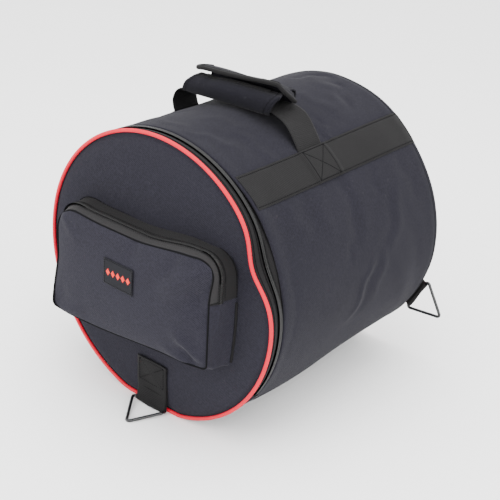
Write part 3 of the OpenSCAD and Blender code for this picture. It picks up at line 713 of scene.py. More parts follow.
UP = 124.0
above = np.linspace(-UP, UP, 401)
revolve("lid_gusset_tape", [(LID + 0.0012, lid_r(0.1768)), (LID + 0.0030, lid_r(0.1786)),
                            (LID + 0.0048, lid_r(0.1797, 0.95)), (LID + 0.0070, lid_r(0.1800, 0.88)),
                            (LID + 0.0092, lid_r(0.1797, 0.80)), (LID + 0.0112, lid_r(0.1791, 0.72)),
                            (LID + 0.0124, lid_r(0.1785, 0.66)), (LID + 0.0140, lid_r(0.1783, 0.60))],
        m_tape, "fold", "lid_gusset", "lid_zip_tape", phi=above, closed=False, flip=True)
revolve("wall_zip_tape_cloth", [(ZIP_Y + 0.0010, lid_r(0.1783, 0.56)), (ZIP_Y + 0.0030, lid_r(0.1783, 0.42)),
                                (ZIP_Y + 0.0044, lid_r(0.1782, 0.2)), (ZIP_Y + 0.0053, lid_r(0.1768, 0.08)),
                                (ZIP_Y + 0.0064, 0.1762), (ZIP_Y + 0.0086, 0.1762)],
        m_tape, "shell", "wall_zip_tape", phi=above, closed=False, flip=True)
phi_b = np.concatenate([np.linspace(UP - 0.2, 180, 100), np.linspace(180, 360 - UP + 0.2, 100)[1:]])
revolve("hinge_cloth", [(LID + 0.0012, 0.1768), (LID + 0.0030, 0.1788), (LID + 0.0055, 0.1798),
                        (LID + 0.0110, 0.1796), (ZIP_Y + 0.0010, 0.1793), (ZIP_Y + 0.0050, 0.1790),
                        (ZIP_Y + 0.0086, 0.1786)],
        m_wall, "shell", "hinge_gusset", phi=phi_b, closed=False, flip=True)

zr = 0.1788
za = np.linspace(-UP + 0.6, UP - 0.6, 1200)
for name, sign, edge, body, nodes, share in (
        ("lid_zip_coil", 1, -0.0024, "fold", ("lid_zip_teeth", "zip_lower_ends"), 0.60),
        ("wall_zip_coil", -1, 0.0024, "shell", ("wall_zip_teeth",), 0.56)):
    path = around(za, zr - share * dent(za), ZIP_Y + edge)
    side = np.broadcast_to((0, sign, 0), path.shape).astype(float)
    put(teeth(name, path, side, outward(za), m_teeth, 0.0023, 0.0030, 0.0013, 0.0022,
              0.5 if sign < 0 else 0.0), body, *nodes)
for name, y, r, share in (("lid_zip_stitching", ZIP_Y - 0.0042, 0.1791, 0.69),
                          ("lid_gusset_stitching", LID + 0.0056, 0.1800, 0.92)):
    sew(name, around(za, r - share * dent(za), y), outward(za), "fold", "zip")


# ---------------------------------------------------------------- side bands
def side_band(name, centre, node):
    half = BAND_HALF
    y = np.linspace(-0.1462, 0.1650, 170)
    s = np.concatenate([[-half, -half], np.linspace(-half + 0.0006, half - 0.0006, 25), [half, half]])
    up = np.concatenate([[-0.0006, 0.0008], np.full(25, 0.00145), [0.0008, -0.0006]])
    phi = centre + np.degrees(s / R)
    lump = smooth(0.0275, 0.0215, np.abs(y - HANDLE_Y))
    pp, yy = np.meshgrid(phi, y, indexing="ij")
    r = R + swell(pp, yy) + SKIN + up[:, None] + 0.0014 * lump[None] * (up > 0.001)[:, None]
    r = r - 0.0007 * bell(np.abs(s)[:, None], half - 0.0028, 0.0009) * (up > 0.001)[:, None]
    p = around(pp, r, yy)
    put(grid(name, p, m_webbing, (yy, pp * math.pi / 180 * R)), "shell", node)
    rows = []
    for off in (-half + 0.0028, half - 0.0028):
        a = centre + math.degrees(off / R)
        rows.append((np.full(160, a), np.linspace(-0.1445, 0.1630, 160)))
    t = np.linspace(0, 1, 30)
    for a0, b0, a1, b1 in crossed_box(0.0195, -0.0195, 0.0195):
        rows.append((centre + np.degrees((a0 + (a1 - a0) * t) / R), HANDLE_Y + b0 + (b1 - b0) * t))
    for k, (a, b) in enumerate(rows):
        raised = 0.0014 * smooth(0.0275, 0.0215, np.abs(b - HANDLE_Y))
        path = around(a, R + swell(a, b) + SKIN + 0.0012 + raised + (0 if k < 2 else 0.00015), b)
        sew(f"{name}_stitching_{k}", path, outward(a), "shell", "webbing")


side_band("right_band_webbing", BAND_RIGHT, "band_right")
side_band("left_band_webbing", BAND_LEFT, "band_left")

# ---------------------------------------------------------------- handle strap
FOOT = 7.8
foot_r = R + 0.00085
rf = foot_r * np.array([math.sin(rad(BAND_RIGHT - FOOT)), math.cos(rad(BAND_RIGHT - FOOT))])
lf = foot_r * np.array([math.sin(rad(BAND_LEFT + FOOT)), math.cos(rad(BAND_LEFT + FOOT))])


def tail(centre, sign):
    return [foot_r * np.array([math.sin(rad(a)), math.cos(rad(a))])
            for a in np.linspace(centre + sign * 6.0, centre - sign * 6.2, 8)]


# Route of the strap from right to left, in millimetres across and above the bag's axis
STRAP_ROUTE = ((90, 162.5), (82.5, 171), (75, 178), (66, 183.6), (55, 187.2), (42, 188.4), (10, 186.9),
               (-30, 185.8), (-60, 185.2), (-76, 184.7), (-86, 184), (-93, 182.2), (-99, 177.5), (-103, 171),
               (-104.8, 164.5), (-103.6, 157))
strap = (tail(BAND_RIGHT, 1) + [rf + (0.0004, 0.0002)]
         + [np.array(q) / 1000 for q in STRAP_ROUTE]
         + [lf + (-0.0003, 0.0006)] + tail(BAND_LEFT, -1)[::-1])
line = resample(curve_through(strap, 10), 0.002)
yy = np.linspace(-0.0222, 0.0222, 23)
t2 = unit(np.gradient(line, axis=0))
n2 = np.stack([t2[:, 1], -t2[:, 0]], 1)
along_s = np.concatenate([[0], np.cumsum(np.linalg.norm(np.diff(line, axis=0), axis=1))])
free = smooth(0.05, 0.085, along_s) * (1 - smooth(along_s[-1] - 0.085, along_s[-1] - 0.05, along_s))
cup = 0.0011 * (yy[None] / 0.022) ** 2 + 0.0007 * np.sin(along_s[:, None] * 70 + yy[None] * 60)
cup = cup * free[:, None]
skew = free[:, None] * 0.0018 * np.sin(along_s[:, None] / along_s[-1] * 2 * math.pi)


def strap_surface(side):
    edge = WEBBING_HALF * (1 - 0.55 * smooth(0.0212, 0.0222, np.abs(yy)))
    off = cup + side * edge[None]
    x = line[:, None, 0] + n2[:, None, 0] * off
    z = AXIS_Z + line[:, None, 1] + n2[:, None, 1] * off
    y = HANDLE_Y + yy[None] + skew
    return np.stack(np.broadcast_arrays(x, y, z), -1)


loop = np.concatenate([strap_surface(1), strap_surface(-1)[:, ::-1]], 1)
width_v = np.concatenate([yy, yy[::-1]])
uv = (np.repeat(along_s[:, None], loop.shape[1], 1), np.repeat(width_v[None], len(line), 0))
put(grid("strap_webbing", loop, m_webbing, uv, close_v=True), "strap", "handle_strap", "strap_ends")


# ---------------------------------------------------------------- grip wrap
def wrap_section(inset):
    """Outline of the open wrap in Y and Z from the front lip, round under the hand, to the back lip."""
    h, flat = 0.011 - inset, 0.017
    pts = [(-0.0066, h)]
    pts += [(-flat + h * math.cos(rad(a)), h * math.sin(rad(a))) for a in np.linspace(90, 270, 26)]
    pts += [(x, -h) for x in np.linspace(-flat, flat, 12)[1:-1]]
    pts += [(flat + h * math.cos(rad(a)), h * math.sin(rad(a))) for a in np.linspace(-90, 90, 26)]
    pts += [(0.0126, h)]
    return np.array(pts)


outer, inner_s = wrap_section(0.0), wrap_section(0.0030)
turn = np.linspace(-1.4, 1.4, 6)
lip_front = [(-0.0066 + 0.0017 * math.cos(a), 0.0092 + 0.0018 * math.sin(a)) for a in turn]
lip_back = [(0.0126 - 0.0014 * math.cos(a), 0.0092 + 0.0018 * math.sin(a)) for a in turn[::-1]]
closed_section = np.array(list(outer) + lip_back + list(inner_s[::-1]) + lip_front)
gx = np.concatenate([[-0.0900, -0.0897], np.linspace(-0.0890, 0.0470, 76), [0.0477, 0.0480]])
fat = np.concatenate([[0.90, 0.97], np.ones(76), [0.97, 0.90]])
grip_wave = noise_field(51, 7, 40, 110)


def wrap_point(x, y, z):
    """Place a point of the straight wrap on the soft one: a sagging, tilted roll with slanting ends."""
    u = (x + 0.021) / 0.069
    left, right = smooth(0.2, 1, -u), smooth(0.2, 1, u)
    slant = 0.6 * left + (0.3 + 0.4 * smooth(0.0, 0.018, -y)) * right
    xx = x + (z + 0.011) * slant + 0.003 * left * smooth(0.003, 0.011, z)
    zz = -0.0141 + 0.0016 * u + (z + 0.011) / 0.022 * (0.0263 + 0.0008 * u)
    zz = zz - 0.0008 * (1 - u ** 2) * (z < 0)
    zz = zz + 0.0006 * grip_wave(x, z + y) - 0.0016 * bell(u, -0.35, 0.18) * (z > 0)
    yyy = y * (1 + 0.03 * (1 - u ** 2)) + 0.0007 * grip_wave(x + 0.2, z)
    return np.stack(np.broadcast_arrays(xx, HANDLE_Y + yyy, GRIP_Z + zz), -1)


mid = closed_section.mean(0)
sec = mid + (closed_section - mid)[None] * fat[:, None, None]
p = wrap_point(gx[:, None], sec[..., 0], sec[..., 1])
put(grid("wrap_cloth", p, m_grip, close_v=True, flip=True), "handle", "grip_wrap", "grip_padding", pad=0.6)
for k, x0 in enumerate((-0.0835, 0.0415)):
    o = wrap_section(-0.0002)
    path = wrap_point(np.full(len(o), x0), o[:, 0], o[:, 1])
    n = wrap_point(np.full(len(o), x0), o[:, 0] * 1.2, o[:, 1] * 1.2) - path
    sew(f"wrap_end_stitching_{k}", path, n, "handle", "grip")
lip = np.linspace(-0.084, 0.042, 60)
path = wrap_point(lip, np.full(60, -0.0108), np.full(60, 0.0111))
sew("wrap_lip_stitching", path, (0, 0, 1), "handle", "grip")


def pad_sheet(name, surface, thick, material):
    """Thick soft sheet from a middle surface: both faces and a closed edge."""
    du, dv = np.gradient(surface, axis=0), np.gradient(surface, axis=1)
    n = unit(np.cross(du, dv))
    h = np.asarray(thick)[..., None] / 2
    top, bottom = surface + n * h, surface - n * h
    both = np.concatenate([top, bottom[:, ::-1]], 1)
    first, last = (np.concatenate([end, end[:, ::-1]], 1) for end in (surface[:1], surface[-1:]))
    return grid(name, np.concatenate([first, both, last], 0), material, close_v=True)


strip_x = np.linspace(-0.074, 0.032, 50)
sy = np.linspace(-0.0145, -0.0072, 8)
strip_x, sy = np.meshgrid(strip_x, sy, indexing="ij")
surf = wrap_point(strip_x, sy, np.full((50, 8), 0.01145))
put(pad_sheet("loop_strip", surf, np.full((50, 8), TOUCH_TAPE), m_loop), "handle", "grip_loop_strip")

# Flap of the wrap
FLAP_X, FLAP_L, FLAP_W = -0.0065, 0.135, 0.0345
HINGE = (HANDLE_Y + 0.014, GRIP_Z + 0.0136)
flap_wave = noise_field(61, 6, 25, 70)


def flap_point(u, v, lift=0.0):
    """u from -1 to 1 along the grip, v from 0 at the back to 1 at the front edge."""
    r = 0.013
    over = np.clip(v * FLAP_W - (FLAP_W - r), 0, r)
    half = FLAP_L / 2 - r + np.sqrt(np.maximum(r * r - over * over, 0))
    x = FLAP_X + u * half
    w = v * FLAP_W
    k = (x - FLAP_X) / (FLAP_L / 2)
    tilt = rad(np.interp(k, [-1, -0.75, -0.4, 0.1, 0.6, 1.0], [5, 9.5, 11, 15.5, 20, 22.5]))
    rise = w * np.sin(tilt) + 0.0022 * np.sin(math.pi * np.clip(v, 0, 1) * 0.8)
    droop = -0.0105 * smooth(0.8, 1.02, k) * (1 - np.clip(v, 0, 1)) ** 0.7 - 0.0030 * smooth(0.9, 1.02, k)
    z = HINGE[1] - 0.0008 + rise + droop + 0.0006 * flap_wave(x, w)
    y = HINGE[0] - w * np.cos(tilt)
    return np.stack(np.broadcast_arrays(x, y, z + lift), -1)


u, v = np.meshgrid(np.linspace(-1, 1, 90), np.linspace(0, 1, 30), indexing="ij")
surf = flap_point(u, v)
put(pad_sheet("flap_cloth", surf, 0.0031 - 0.0008 * smooth(0.9, 1, np.abs(u)), m_grip), "handle_wrap_flap",
    "grip_flap", pad=0.6)
edge = np.concatenate([flap_point(np.full(30, -1.0), np.linspace(0, 1, 30)),
                       flap_point(np.linspace(-1, 1, 120), np.ones(120))[1:-1],
                       flap_point(np.full(30, 1.0), np.linspace(1, 0, 30))])
edge = resample(edge, 0.002)
a, b = line_frames(edge, (0, 0, 1))
inward = -a * np.sign(np.sum((edge - np.array([FLAP_X, HINGE[0] - 0.017, HINGE[1]])) * a, 1, keepdims=True))
put(sweep("flap_binding", edge + inward * 0.0018, inward, b, rounded_section(0.0066, 0.0048, 0.0022),
          m_binding), "handle_wrap_flap", "grip_flap_binding")
sew("flap_binding_stitching", edge + inward * 0.0038 + b * 0.0023, b, "handle_wrap_flap", "grip")
uu, vv = np.meshgrid(np.linspace(-0.8, 0.8, 50), np.linspace(0.52, 0.80, 8), indexing="ij")
put(pad_sheet("hook_strip", flap_point(uu, vv, -0.0021), np.full(uu.shape, TOUCH_TAPE), m_hook),
    "handle_wrap_flap", "grip_hook_strip")

# ---------------------------------------------------------------- pocket
# Depth, and the zip line's share of it; left, right, bottom and top; corner radii
D, ZIPD = 0.044, 0.45
PL, PR, PB, PT = -0.130, 0.120, 0.109, 0.251
PR_TOP, PL_TOP, PR_BOT = 0.024, 0.040, 0.007
PCX, PCZ = (PL + PR) / 2, (PB + PT) / 2
HALF_W, HALF_H = (PR - PL) / 2, (PT - PB) / 2


def pocket_outline():
    """Closed outline in X and Z, from the middle of the bottom edge, to the right and round."""
    pts = [(PCX, PB)]
    for cx, cz, r, start in ((PR - PR_BOT, PB + PR_BOT, PR_BOT, -90),
                             (PR - PR_TOP, PT - PR_TOP, PR_TOP, 0),
                             (PL + PL_TOP, PT - PL_TOP, PL_TOP, 90),
                             (PL + PR_BOT, PB + PR_BOT, PR_BOT, 180)):
        pts += [(cx + r * math.cos(rad(start + 90 * k / 12)), cz + r * math.sin(rad(start + 90 * k / 12)))
                for k in range(13)]
    pts.append((PCX, PB))
    return resample(np.array(pts), 0.7 / 360)[:-1]


OUT = pocket_outline()
tan = unit(np.roll(OUT, -1, 0) - np.roll(OUT, 1, 0))
NRM = np.stack([tan[:, 1], -tan[:, 0]], 1)


def sag(x, z, depth):
    """How far the soft pocket leaves its plain outline, at a share of its depth from 0 at the front to 1."""
    nx, nz = (x - PCX) / HALF_W, (z - PCZ) / HALF_H
    # Shift of each side in metres, on the front seam, on the zip line and on the base
    top = (-0.0046 + 0.0110 * smooth(0.10, 0.85, nx) + 0.0035 * smooth(-0.30, -0.90, nx),
           -0.0041 + 0.0105 * smooth(0.15, 0.75, nx) + 0.0050 * smooth(-0.55, -1.00, nx),
           -0.0054 + 0.0080 * smooth(-0.10, 0.60, nx) + 0.0060 * smooth(-0.50, -1.00, nx))
    bottom = (-0.0060 + 0.0156 * smooth(-0.75, 0.80, nx),
              -0.0014 + 0.0045 * smooth(-0.50, 0.50, nx),
              0.0015)
    right = (0.0080 * smooth(0.30, 1.00, nz),
             0.0010 + 0.0046 * smooth(-0.50, 0.20, nz),
             0.0087 - 0.0048 * nz ** 2)
    left = (0.0055 - 0.0130 * smooth(0.10, -1.00, nz),
            -0.0030 * smooth(0.45, 0.80, nz) - 0.0028 * smooth(-0.30, -1.00, nz),
            -0.0058 * smooth(-0.50, 0.40, nz))
    dx, dz = 0, 0
    for k, share in enumerate(([1, 0.6, 0, 0], [0, 0.4, 1, 0], [0, 0, 0, 1])):
        weight = np.interp(depth, [0, 0.2, ZIPD, 1], share)
        dx = dx + weight * (right[k] * smooth(0.2, 1, nx) + left[k] * smooth(0.2, 1, -nx))
        dz = dz + weight * (top[k] * smooth(0.2, 1, nz) + bottom[k] * smooth(0.2, 1, -nz))
    return dx, dz


def seam_back(x):
    """How far behind the front plane the seam round the front panel lies."""
    nx = (x - PCX) / HALF_W
    return 0.0022 + 0.0058 * smooth(0.72, 1.0, nx) + 0.0012 * smooth(0.72, 1.0, -nx)


pocket_wave = noise_field(71, 8, 22, 60)


# Folds on the pocket: two ends (metres across and up), depth, width
POCKET_FOLDS = [
    ((0.102, 0.114), (0.084, 0.142), 0.0038, 0.0090), ((0.113, 0.122), (0.075, 0.166), -0.0040, 0.0090),
    ((0.090, 0.110), (0.052, 0.130), -0.0018, 0.0090), ((0.112, 0.240), (0.055, 0.200), -0.0058, 0.0115),
    ((0.118, 0.225), (0.090, 0.180), 0.0034, 0.0080), ((0.104, 0.214), (0.120, 0.170), 0.0020, 0.0080),
    ((-0.126, 0.114), (-0.100, 0.142), 0.0022, 0.0100), ((-0.118, 0.108), (-0.070, 0.126), -0.0020, 0.0080),
    ((-0.120, 0.240), (-0.078, 0.214), -0.0020, 0.0100), ((0.016, 0.250), (0.006, 0.214), 0.0018, 0.0120),
    ((0.074, 0.249), (0.064, 0.214), 0.0016, 0.0090),
]


def front_y(x, z):
    """Soft front face of the pocket."""
    nx, nz = np.clip((x - PCX) / HALF_W, -1, 1), np.clip((z - PCZ) / (HALF_H + 0.003), -1, 1)
    fill = (1 - np.abs(nx) ** 3.2) * (1 - np.abs(nz) ** 2.6)
    y = POCKET_FRONT + seam_back(x) * (1 - fill) ** 1.5 - 0.0078 * fill
    y = y - 0.0012 * fill * (x - PCX) / HALF_W - 0.0008 * pocket_wave(x, z) * np.clip(fill * 2.5, 0, 1)
    for start, end, h, w in POCKET_FOLDS:
        t, off = beside(x, z, start, end)
        ends = smooth(-0.2, 0.25, t) * (1 - smooth(0.55, 1.1, t))
        y = y + h * bell(off, 0, w * (0.6 + 0.6 * np.clip(t, 0, 1))) * ends
    return y


def pocket_at(inset, depth, y=None):
    """Ring of points inset from the outline, at a depth of 0 on the front seam and 1 on the lid."""
    q = OUT - NRM * inset
    dx, dz = sag(q[:, 0], q[:, 1], depth)
    if y is None:
        seam = seam_back(q[:, 0])
        y = POCKET_FRONT + (seam + (ZIPD * D - seam) * depth / ZIPD if depth < ZIPD else depth * D)
    return np.stack([q[:, 0] + dx, np.broadcast_to(y, dx.shape), q[:, 1] + dz], -1)


# Front panel as rings drawn in towards the middle
shares = np.concatenate([np.linspace(0, 0.12, 8), np.linspace(0.14, 1, 44)])
rim = OUT - NRM * 0.0004
rows = []
for sh in shares:
    q = rim + (np.array([PCX, PCZ]) - rim) * sh
    dx, dz = sag(q[:, 0], q[:, 1], 0.0)
    fade = 1 - sh
    yv = front_y(q[:, 0], q[:, 1]) + 0.0016 * (1 - smooth(0, 0.03, sh))
    rows.append(np.stack([q[:, 0] + dx * fade, yv, q[:, 1] + dz * fade], -1))
p = np.stack(rows, 1)
put(grid("pocket_front_cloth", p, m_pocket, (p[..., 0], p[..., 2]), close_u=True), "pocket_fold",
    "pocket_front_lower", "flap_front", pad=0.45)

low_part = np.where(OUT[:, 1] <= POCKET_FOLD + 0.0004)[0]
high_part = np.where(OUT[:, 1] >= POCKET_FOLD - 0.0010)[0]
right_start = low_part[low_part < len(OUT) // 2]
left_start = low_part[low_part >= len(OUT) // 2]
low_order = np.concatenate([left_start, right_start])


def pocket_side(name, order, stations, material, body, *nodes):
    cols = [pocket_at(ins, dep)[order] for dep, ins in stations]
    p = np.stack(cols, 1)
    s = np.cumsum(np.concatenate([[0], np.linalg.norm(np.diff(OUT[order], axis=0), axis=1)]))
    d = np.array([dep * D for dep, _ in stations])
    uv = (np.repeat(s[:, None], len(stations), 1), np.repeat(d[None], len(order), 0))
    return put(grid(name, p, material, uv, flip=True), body, *nodes)


pocket_side("pocket_side_front", low_order, [(-0.015, 0.0024), (0.01, 0.0008), (0.05, 0.0002), (0.2, 0.0009),
                                             (0.33, 0.0015), (0.455, 0.0012)],
            m_pocket, "pocket_fold", "pocket_gusset")
pocket_side("pocket_side_back", low_order, [(0.455, 0.0012), (0.6, 0.0016), (0.75, 0.0012), (0.9, 0.0),
                                            (0.97, -0.0010), (1.0, -0.0016)], m_pocket, "lid")
# The front band uses the lit copy of the tape, which is painted light; the back tape below uses the plain
# tape
pocket_side("flap_band_tape", high_part, [(-0.015, 0.0024), (0.01, 0.0008), (0.05, 0.0002), (0.17, 0.0003),
                                          (0.26, 0.0008), (0.34, 0.0012), (0.41, 0.0010)],
            m_band_lit_copy, "pocket_fold", "flap_band", "flap_zip_tape")
pocket_side("pocket_back_tape", high_part, [(0.49, 0.0010), (0.56, 0.0013), (0.66, 0.0008), (0.78, 0.0002),
                                            (0.90, 0.0), (1.0, -0.0006)],
            m_tape, "lid", "pocket_back_band", "pocket_zip_tape")

# Pocket zip, its stitching and the seams round the pocket
for name, sign, dep, body, node in (("flap_zip_coil", 1, 0.405, "pocket_fold", "flap_zip_teeth"),
                                    ("pocket_zip_coil", -1, 0.497, "lid", "pocket_zip_teeth")):
    path = pocket_at(0.0006, ZIPD, POCKET_FRONT + dep * D)[high_part]
    n = np.stack([NRM[high_part, 0], 0 * high_part, NRM[high_part, 1]], 1)
    side = np.broadcast_to((0.0, sign, 0.0), path.shape)
    put(teeth(name, path, side, n, m_teeth, 0.0021, 0.0025, 0.0012, 0.0017, 0.5 if sign < 0 else 0.0),
        body, node)
for name, dep, body in (("flap_band_stitching", 0.335, "pocket_fold"),
                        ("pocket_back_stitching", 0.60, "lid")):
    sew(name, pocket_at(0.0003, dep)[high_part], n, body, "pocket_zip")
path = pocket_at(-0.0010, 1.0, POCKET_FRONT + D - 0.0016)
n = np.stack([NRM[:, 0], 0 * NRM[:, 0] - 1, NRM[:, 1]], 1)
sew("pocket_base_stitching", path, n, "lid", "pocket")
# Bound seam standing along the right and left of the base
for k, order in enumerate((right_start[right_start > 30], left_start[:-30])):
    c = pocket_at(-0.0014, 1.0, POCKET_FRONT + D - 0.0024)[order]
    c = c[(c[:, 2] > 0.118) & (c[:, 2] < 0.198)]
    a, b = line_frames(c, (0, -1, 0))
    put(sweep(f"pocket_base_seam_{k}", c, a, b, rounded_section(0.0024, 0.0030, 0.0011), m_binding), "lid")
# Cross seam where the band meets the side, at both ends of the zip
for k, sx in enumerate((1, -1)):
    end_x = PR if sx > 0 else PL
    at = int(np.argmin(np.hypot(OUT[:, 0] - end_x, OUT[:, 1] - POCKET_FOLD + 0.0006)))
    c = np.array([pocket_at(0.0002, t)[at] for t in np.linspace(0.02, 0.52, 12)])
    a, b = line_frames(c, (sx, 0, 0))
    put(sweep(f"pocket_zip_end_{k}", c, a, b, rounded_section(0.0022, 0.0016, 0.0007), m_binding),
        "pocket_fold")
# Turned seam round the front panel
c = pocket_at(0.0010, -0.012)
a, b = closed_frames(c, (0, -1, 0))
put(sweep("pocket_front_seam", c, a, b, rounded_section(0.0018, 0.0016, 0.0006), m_thread, closed=True),
    "pocket_fold")

# Label with a plain red motif
LABEL_X, LABEL_Z, LABEL_HEM = (-0.0298, 0.0188), (0.1808, 0.2132), 0.0014
lx, lz = np.meshgrid(np.linspace(*LABEL_X, 44), np.linspace(*LABEL_Z, 30), indexing="ij")


def label_y(x, z, lift=0.0):
    return front_y(x, z) - 0.0009 - 0.0012 * smooth(0.013, 0.0190, x) ** 2 - lift


surf = np.stack([lx, label_y(lx, lz), lz], -1)
put(pad_sheet("label_cloth", surf, np.full(lx.shape, 0.0007), m_label), "pocket_fold", "label_patch",
    "label_top")
(x0, x1), (z0, z1) = ((a + LABEL_HEM, b - LABEL_HEM) for a, b in (LABEL_X, LABEL_Z))
q = resample(np.array([(x0, z0), (x1, z0), (x1, z1), (x0, z1), (x0, z0)]), 0.001)
path = np.stack([q[:, 0], label_y(q[:, 0], q[:, 1], 0.0005), q[:, 1]], 1)
sew("label_stitching", path, (0, -1, 0), "pocket_fold", "label")
shapes = []
for k in range(5):
    cx, cz, w, h = -0.0221 + 0.0083 * k, 0.1970, 0.0034, 0.0046
    ring = np.array([(w, 0), (0, h), (-w, 0), (0, -h)])
    v2 = np.vstack([ring + (cx, cz), ring * 0.82 + (cx, cz)])
    y2 = label_y(v2[:, 0], v2[:, 1]) - np.repeat([0.00035, 0.0008], 4)
    v3 = np.stack([v2[:, 0], y2, v2[:, 1]], 1)
    shapes.append((v3, [(j, (j + 1) % 4, 4 + (j + 1) % 4, 4 + j) for j in range(4)] + [(4, 5, 6, 7)]))
motif = joined("label_motif", shapes, m_motif)
for poly in motif.data.polygons:
    poly.use_smooth = False
put(motif, "pocket_fold")


# ---------------------------------------------------------------- tabs and rings
def tab(name, path, place, outer, body, node, stitch_lines, outward_of):
    """Folded webbing loop: path in two local lengths, placed by a function."""
    line = resample(curve_through(path, 8), 0.0012)
    t = unit(np.gradient(line, axis=0))
    n = np.stack([t[:, 1], -t[:, 0]], 1) * outer
    w = np.linspace(-TAB_HALF, TAB_HALF, 23)
    h = WEBBING_HALF * (1 - 0.5 * smooth(0.0218, TAB_HALF, np.abs(w)))
    wave = 0.0004 * np.sin(w[None] * 150 + np.arange(len(line))[:, None] * 0.15)
    layers = []
    for side in (1, -1):
        q = line[:, None] + n[:, None] * (side * h[None, :, None] + wave[..., None])
        layers.append(place(np.broadcast_to(w[None], q.shape[:2]), q[..., 0], q[..., 1]))
    p = np.concatenate([layers[0], layers[1][:, ::-1]], 1)
    s = np.arange(len(line)) * 0.0012
    vv = np.concatenate([w, w[::-1]])
    uv = (np.repeat(s[:, None], len(vv), 1), np.repeat(vv[None], len(s), 0))
    put(grid(name, p, m_webbing, uv, close_v=True), body, node)
    for k, (w0, s0, w1, s1) in enumerate(stitch_lines):
        tt = np.linspace(0, 1, 24)
        a, b = w0 + (w1 - w0) * tt, s0 + (s1 - s0) * tt
        base = place(a, *outward_of(b))
        up = place(a, *outward_of(b, 0.001)) - base
        sew(f"{name}_stitching_{k}", base, up, body, "webbing")


FB_Y, FB_Z, LOOP = -0.1763, 0.0043, 0.0028
arc = [(FB_Y + LOOP * math.cos(rad(a)), FB_Z + LOOP * math.sin(rad(a))) for a in range(10, -255, -24)]
front_path = ([(LID - 0.0022, 0.0620), (LID - 0.0022, 0.040), (LID - 0.0024, 0.020), (LID - 0.0032, 0.0125),
               (LID - 0.0042, 0.0080)] + arc
              + [(-0.1752, 0.0112), (-0.1734, 0.0180), (LID - 0.0037, 0.0260), (LID - 0.0037, 0.0450),
                 (LID - 0.0037, 0.0645)])


def front_place(w, y, z):
    """The front tab leans a little to the right at its lower end."""
    return np.stack(np.broadcast_arrays(1.07 * w + 0.0015 + 0.0028 * smooth(0.05, 0.0, z), y, z), -1)


front_seams = crossed_box(0.019, 0.032, 0.0615) + [(-0.019, 0.0225, 0.019, 0.0225)]
tab("front_tab_webbing", front_path, front_place, -1, "shell", "front_tab", front_seams,
    lambda z, up=0.0: (LID - 0.0045 - up + 0 * z, z))

RB_Y, RB_R = 0.173, 0.1854
arc = [(RB_Y + LOOP * math.cos(rad(a)), RB_R + LOOP * math.sin(rad(a))) for a in range(196, -50, -24)]
rear_path = ([(REAR + 0.0022, 0.1190), (REAR + 0.0022, 0.1560), (REAR + 0.0024, 0.1660), (0.1724, 0.1700),
              (0.1731, 0.1760), (0.1724, 0.1820)] + arc
             + [(0.1752, 0.1815), (0.1757, 0.1770), (0.1746, 0.1715), (REAR + 0.0043, 0.1670),
                (REAR + 0.0037, 0.1600), (REAR + 0.0037, 0.1400), (REAR + 0.0037, 0.1168)])


def rear_place(phi):
    t = np.array([math.cos(rad(phi)), 0, -math.sin(rad(phi))])
    o = np.array([math.sin(rad(phi)), 0, math.cos(rad(phi))])

    def place(w, y, r):
        w, y, r = (v[..., None] for v in np.broadcast_arrays(w, y, r))
        return np.array([0, 0, AXIS_Z]) + w * t + r * o + y * np.array([0, 1, 0])

    return place


for side, phi in REAR_TABS:
    tab(f"rear_{side}_tab_webbing", rear_path, rear_place(phi), 1, "shell", f"rear_tab_{side}",
        crossed_box(0.019, 0.120, 0.154), lambda r, up=0.0: (REAR + 0.0045 + up + 0 * r, r))


def ring_path():
    """Triangle with round corners, its base on the hinge line: half width, height and corner radius."""
    half, height, c = 0.0288, 0.045, 0.0034
    base = math.atan(height / half)
    tip = math.pi / 2 - base
    bi = c / math.tan(base / 2)
    pts = [(x, 0.0) for x in np.linspace(-(half - bi), half - bi, 20)]
    pts += [(half - bi + c * math.cos(a), -c + c * math.sin(a))
            for a in np.linspace(math.pi / 2, base - math.pi / 2, 12)[1:]]
    cy = -height + c / math.sin(tip)
    a0 = 2 * math.pi - (math.pi / 2 - base)
    first = (c * math.cos(a0), cy + c * math.sin(a0))
    last = pts[-1]
    pts += [(last[0] + (first[0] - last[0]) * t, last[1] + (first[1] - last[1]) * t)
            for t in np.linspace(0, 1, 20)[1:-1]]
    pts += [(c * math.cos(a), cy + c * math.sin(a))
            for a in np.linspace(a0, math.pi + math.pi / 2 - base, 12)]
    n = len(pts)
    left = [(-x, y) for x, y in pts[20:n - 12][::-1]]
    return np.array(pts + left)


def ring(name, place, body, node):
    q = ring_path()
    c = np.array([place(x, y, 0.0) for x, y in q])
    up = unit(np.array(place(0, 0, 1.0)) - np.array(place(0, 0, 0.0)))
    a = closed_frames(c, up)[0]
    weld = 1 + 0.10 * bell(np.arange(len(c)), 9.5, 1.2) + 0.02 * np.sin(np.arange(len(c)) * 1.3)
    section = RING_WIRE * weld[:, None, None] * CIRCLE
    put(sweep(name, c, a, np.broadcast_to(up, c.shape), section, m_metal, closed=True), body, node)


droop = math.asin(0.0022 / 0.0421)


def front_ring_place(x, y, z):
    return (x + 0.0015 - 0.12 * y, FB_Y + y * math.cos(droop) - z * math.sin(droop),
            FB_Z + y * math.sin(droop) + z * math.cos(droop))


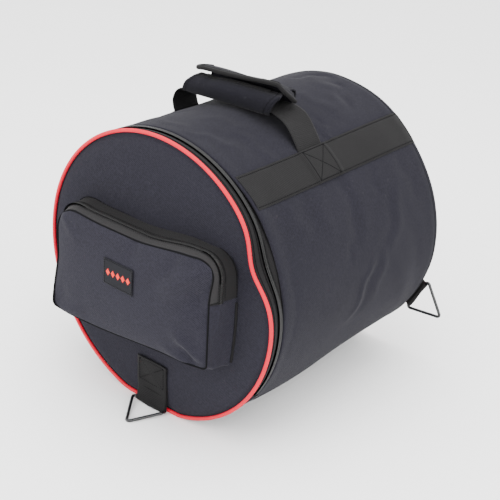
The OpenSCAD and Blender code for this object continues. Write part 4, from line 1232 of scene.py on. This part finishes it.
def rear_ring_place(phi):
    s, c = math.sin(rad(phi)), math.cos(rad(phi))
    return lambda x, y, z: (x * c + (RB_R - y) * s, RB_Y + z, AXIS_Z - x * s + (RB_R - y) * c)


ring("front_ring_wire", front_ring_place, "front_ring", "front_ring")
for side, phi in REAR_TABS:
    ring(f"rear_{side}_ring_wire", rear_ring_place(phi), f"rear_{side}_ring", f"rear_ring_{side}")

# ---------------------------------------------------------------- CAD pieces shown as they are
for node in ("zip_slider", "zip_pull", "pocket_slider", "pocket_pull", "zip_end_stops"):
    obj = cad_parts[node]
    obj.data.materials.clear()
    obj.data.materials.append(m_cast)
    bevel = obj.modifiers.new("soft_edges", "BEVEL")
    bevel.width, bevel.segments, bevel.limit_method = 0.0002, 2, "ANGLE"

# ---------------------------------------------------------------- light and floor
def light(name, place, target, size, power):
    data = bpy.data.lights.new(name, "AREA")
    data.shape = "DISK"
    data.size = size
    data.energy = power
    obj = bpy.data.objects.new(name, data)
    obj.location = place
    obj.rotation_euler = (Vector(target) - Vector(place)).to_track_quat("-Z", "Y").to_euler()
    bpy.context.scene.collection.objects.link(obj)


light("overhead", (0.15, -0.1, 1.9), (0, 0, 0.15), 1.5, 34)
light("front_fill", (-0.7, -1.9, 1.0), (0, -0.1, 0.15), 1.3, 26)
light("right_fill", (2.0, -0.5, 0.9), (0.1, 0, 0.15), 1.2, 20)

world = bpy.data.worlds.new("studio")
world.use_nodes = True
bpy.context.scene.world = world
world.node_tree.nodes["Background"].inputs[0].default_value = (1, 1, 1, 1)
world.node_tree.nodes["Background"].inputs[1].default_value = 2.8

floor_graph = Graph("StudioFloor")
place = floor_graph.add("TexCoord").outputs["Object"]
mottle = floor_graph.noise(place, 3.0, 2.0)
tone = floor_graph.mix(mottle, (0.93, 0.93, 0.93), (0.95, 0.95, 0.95))
m_floor = floor_graph.finish(tone, 0.9, mottle, 0.05, 0.001)
floor = build("studio_floor", [(-6, -6, 0), (6, -6, 0), (6, 6, 0), (-6, 6, 0)], [(0, 1, 2, 3)], m_floor)
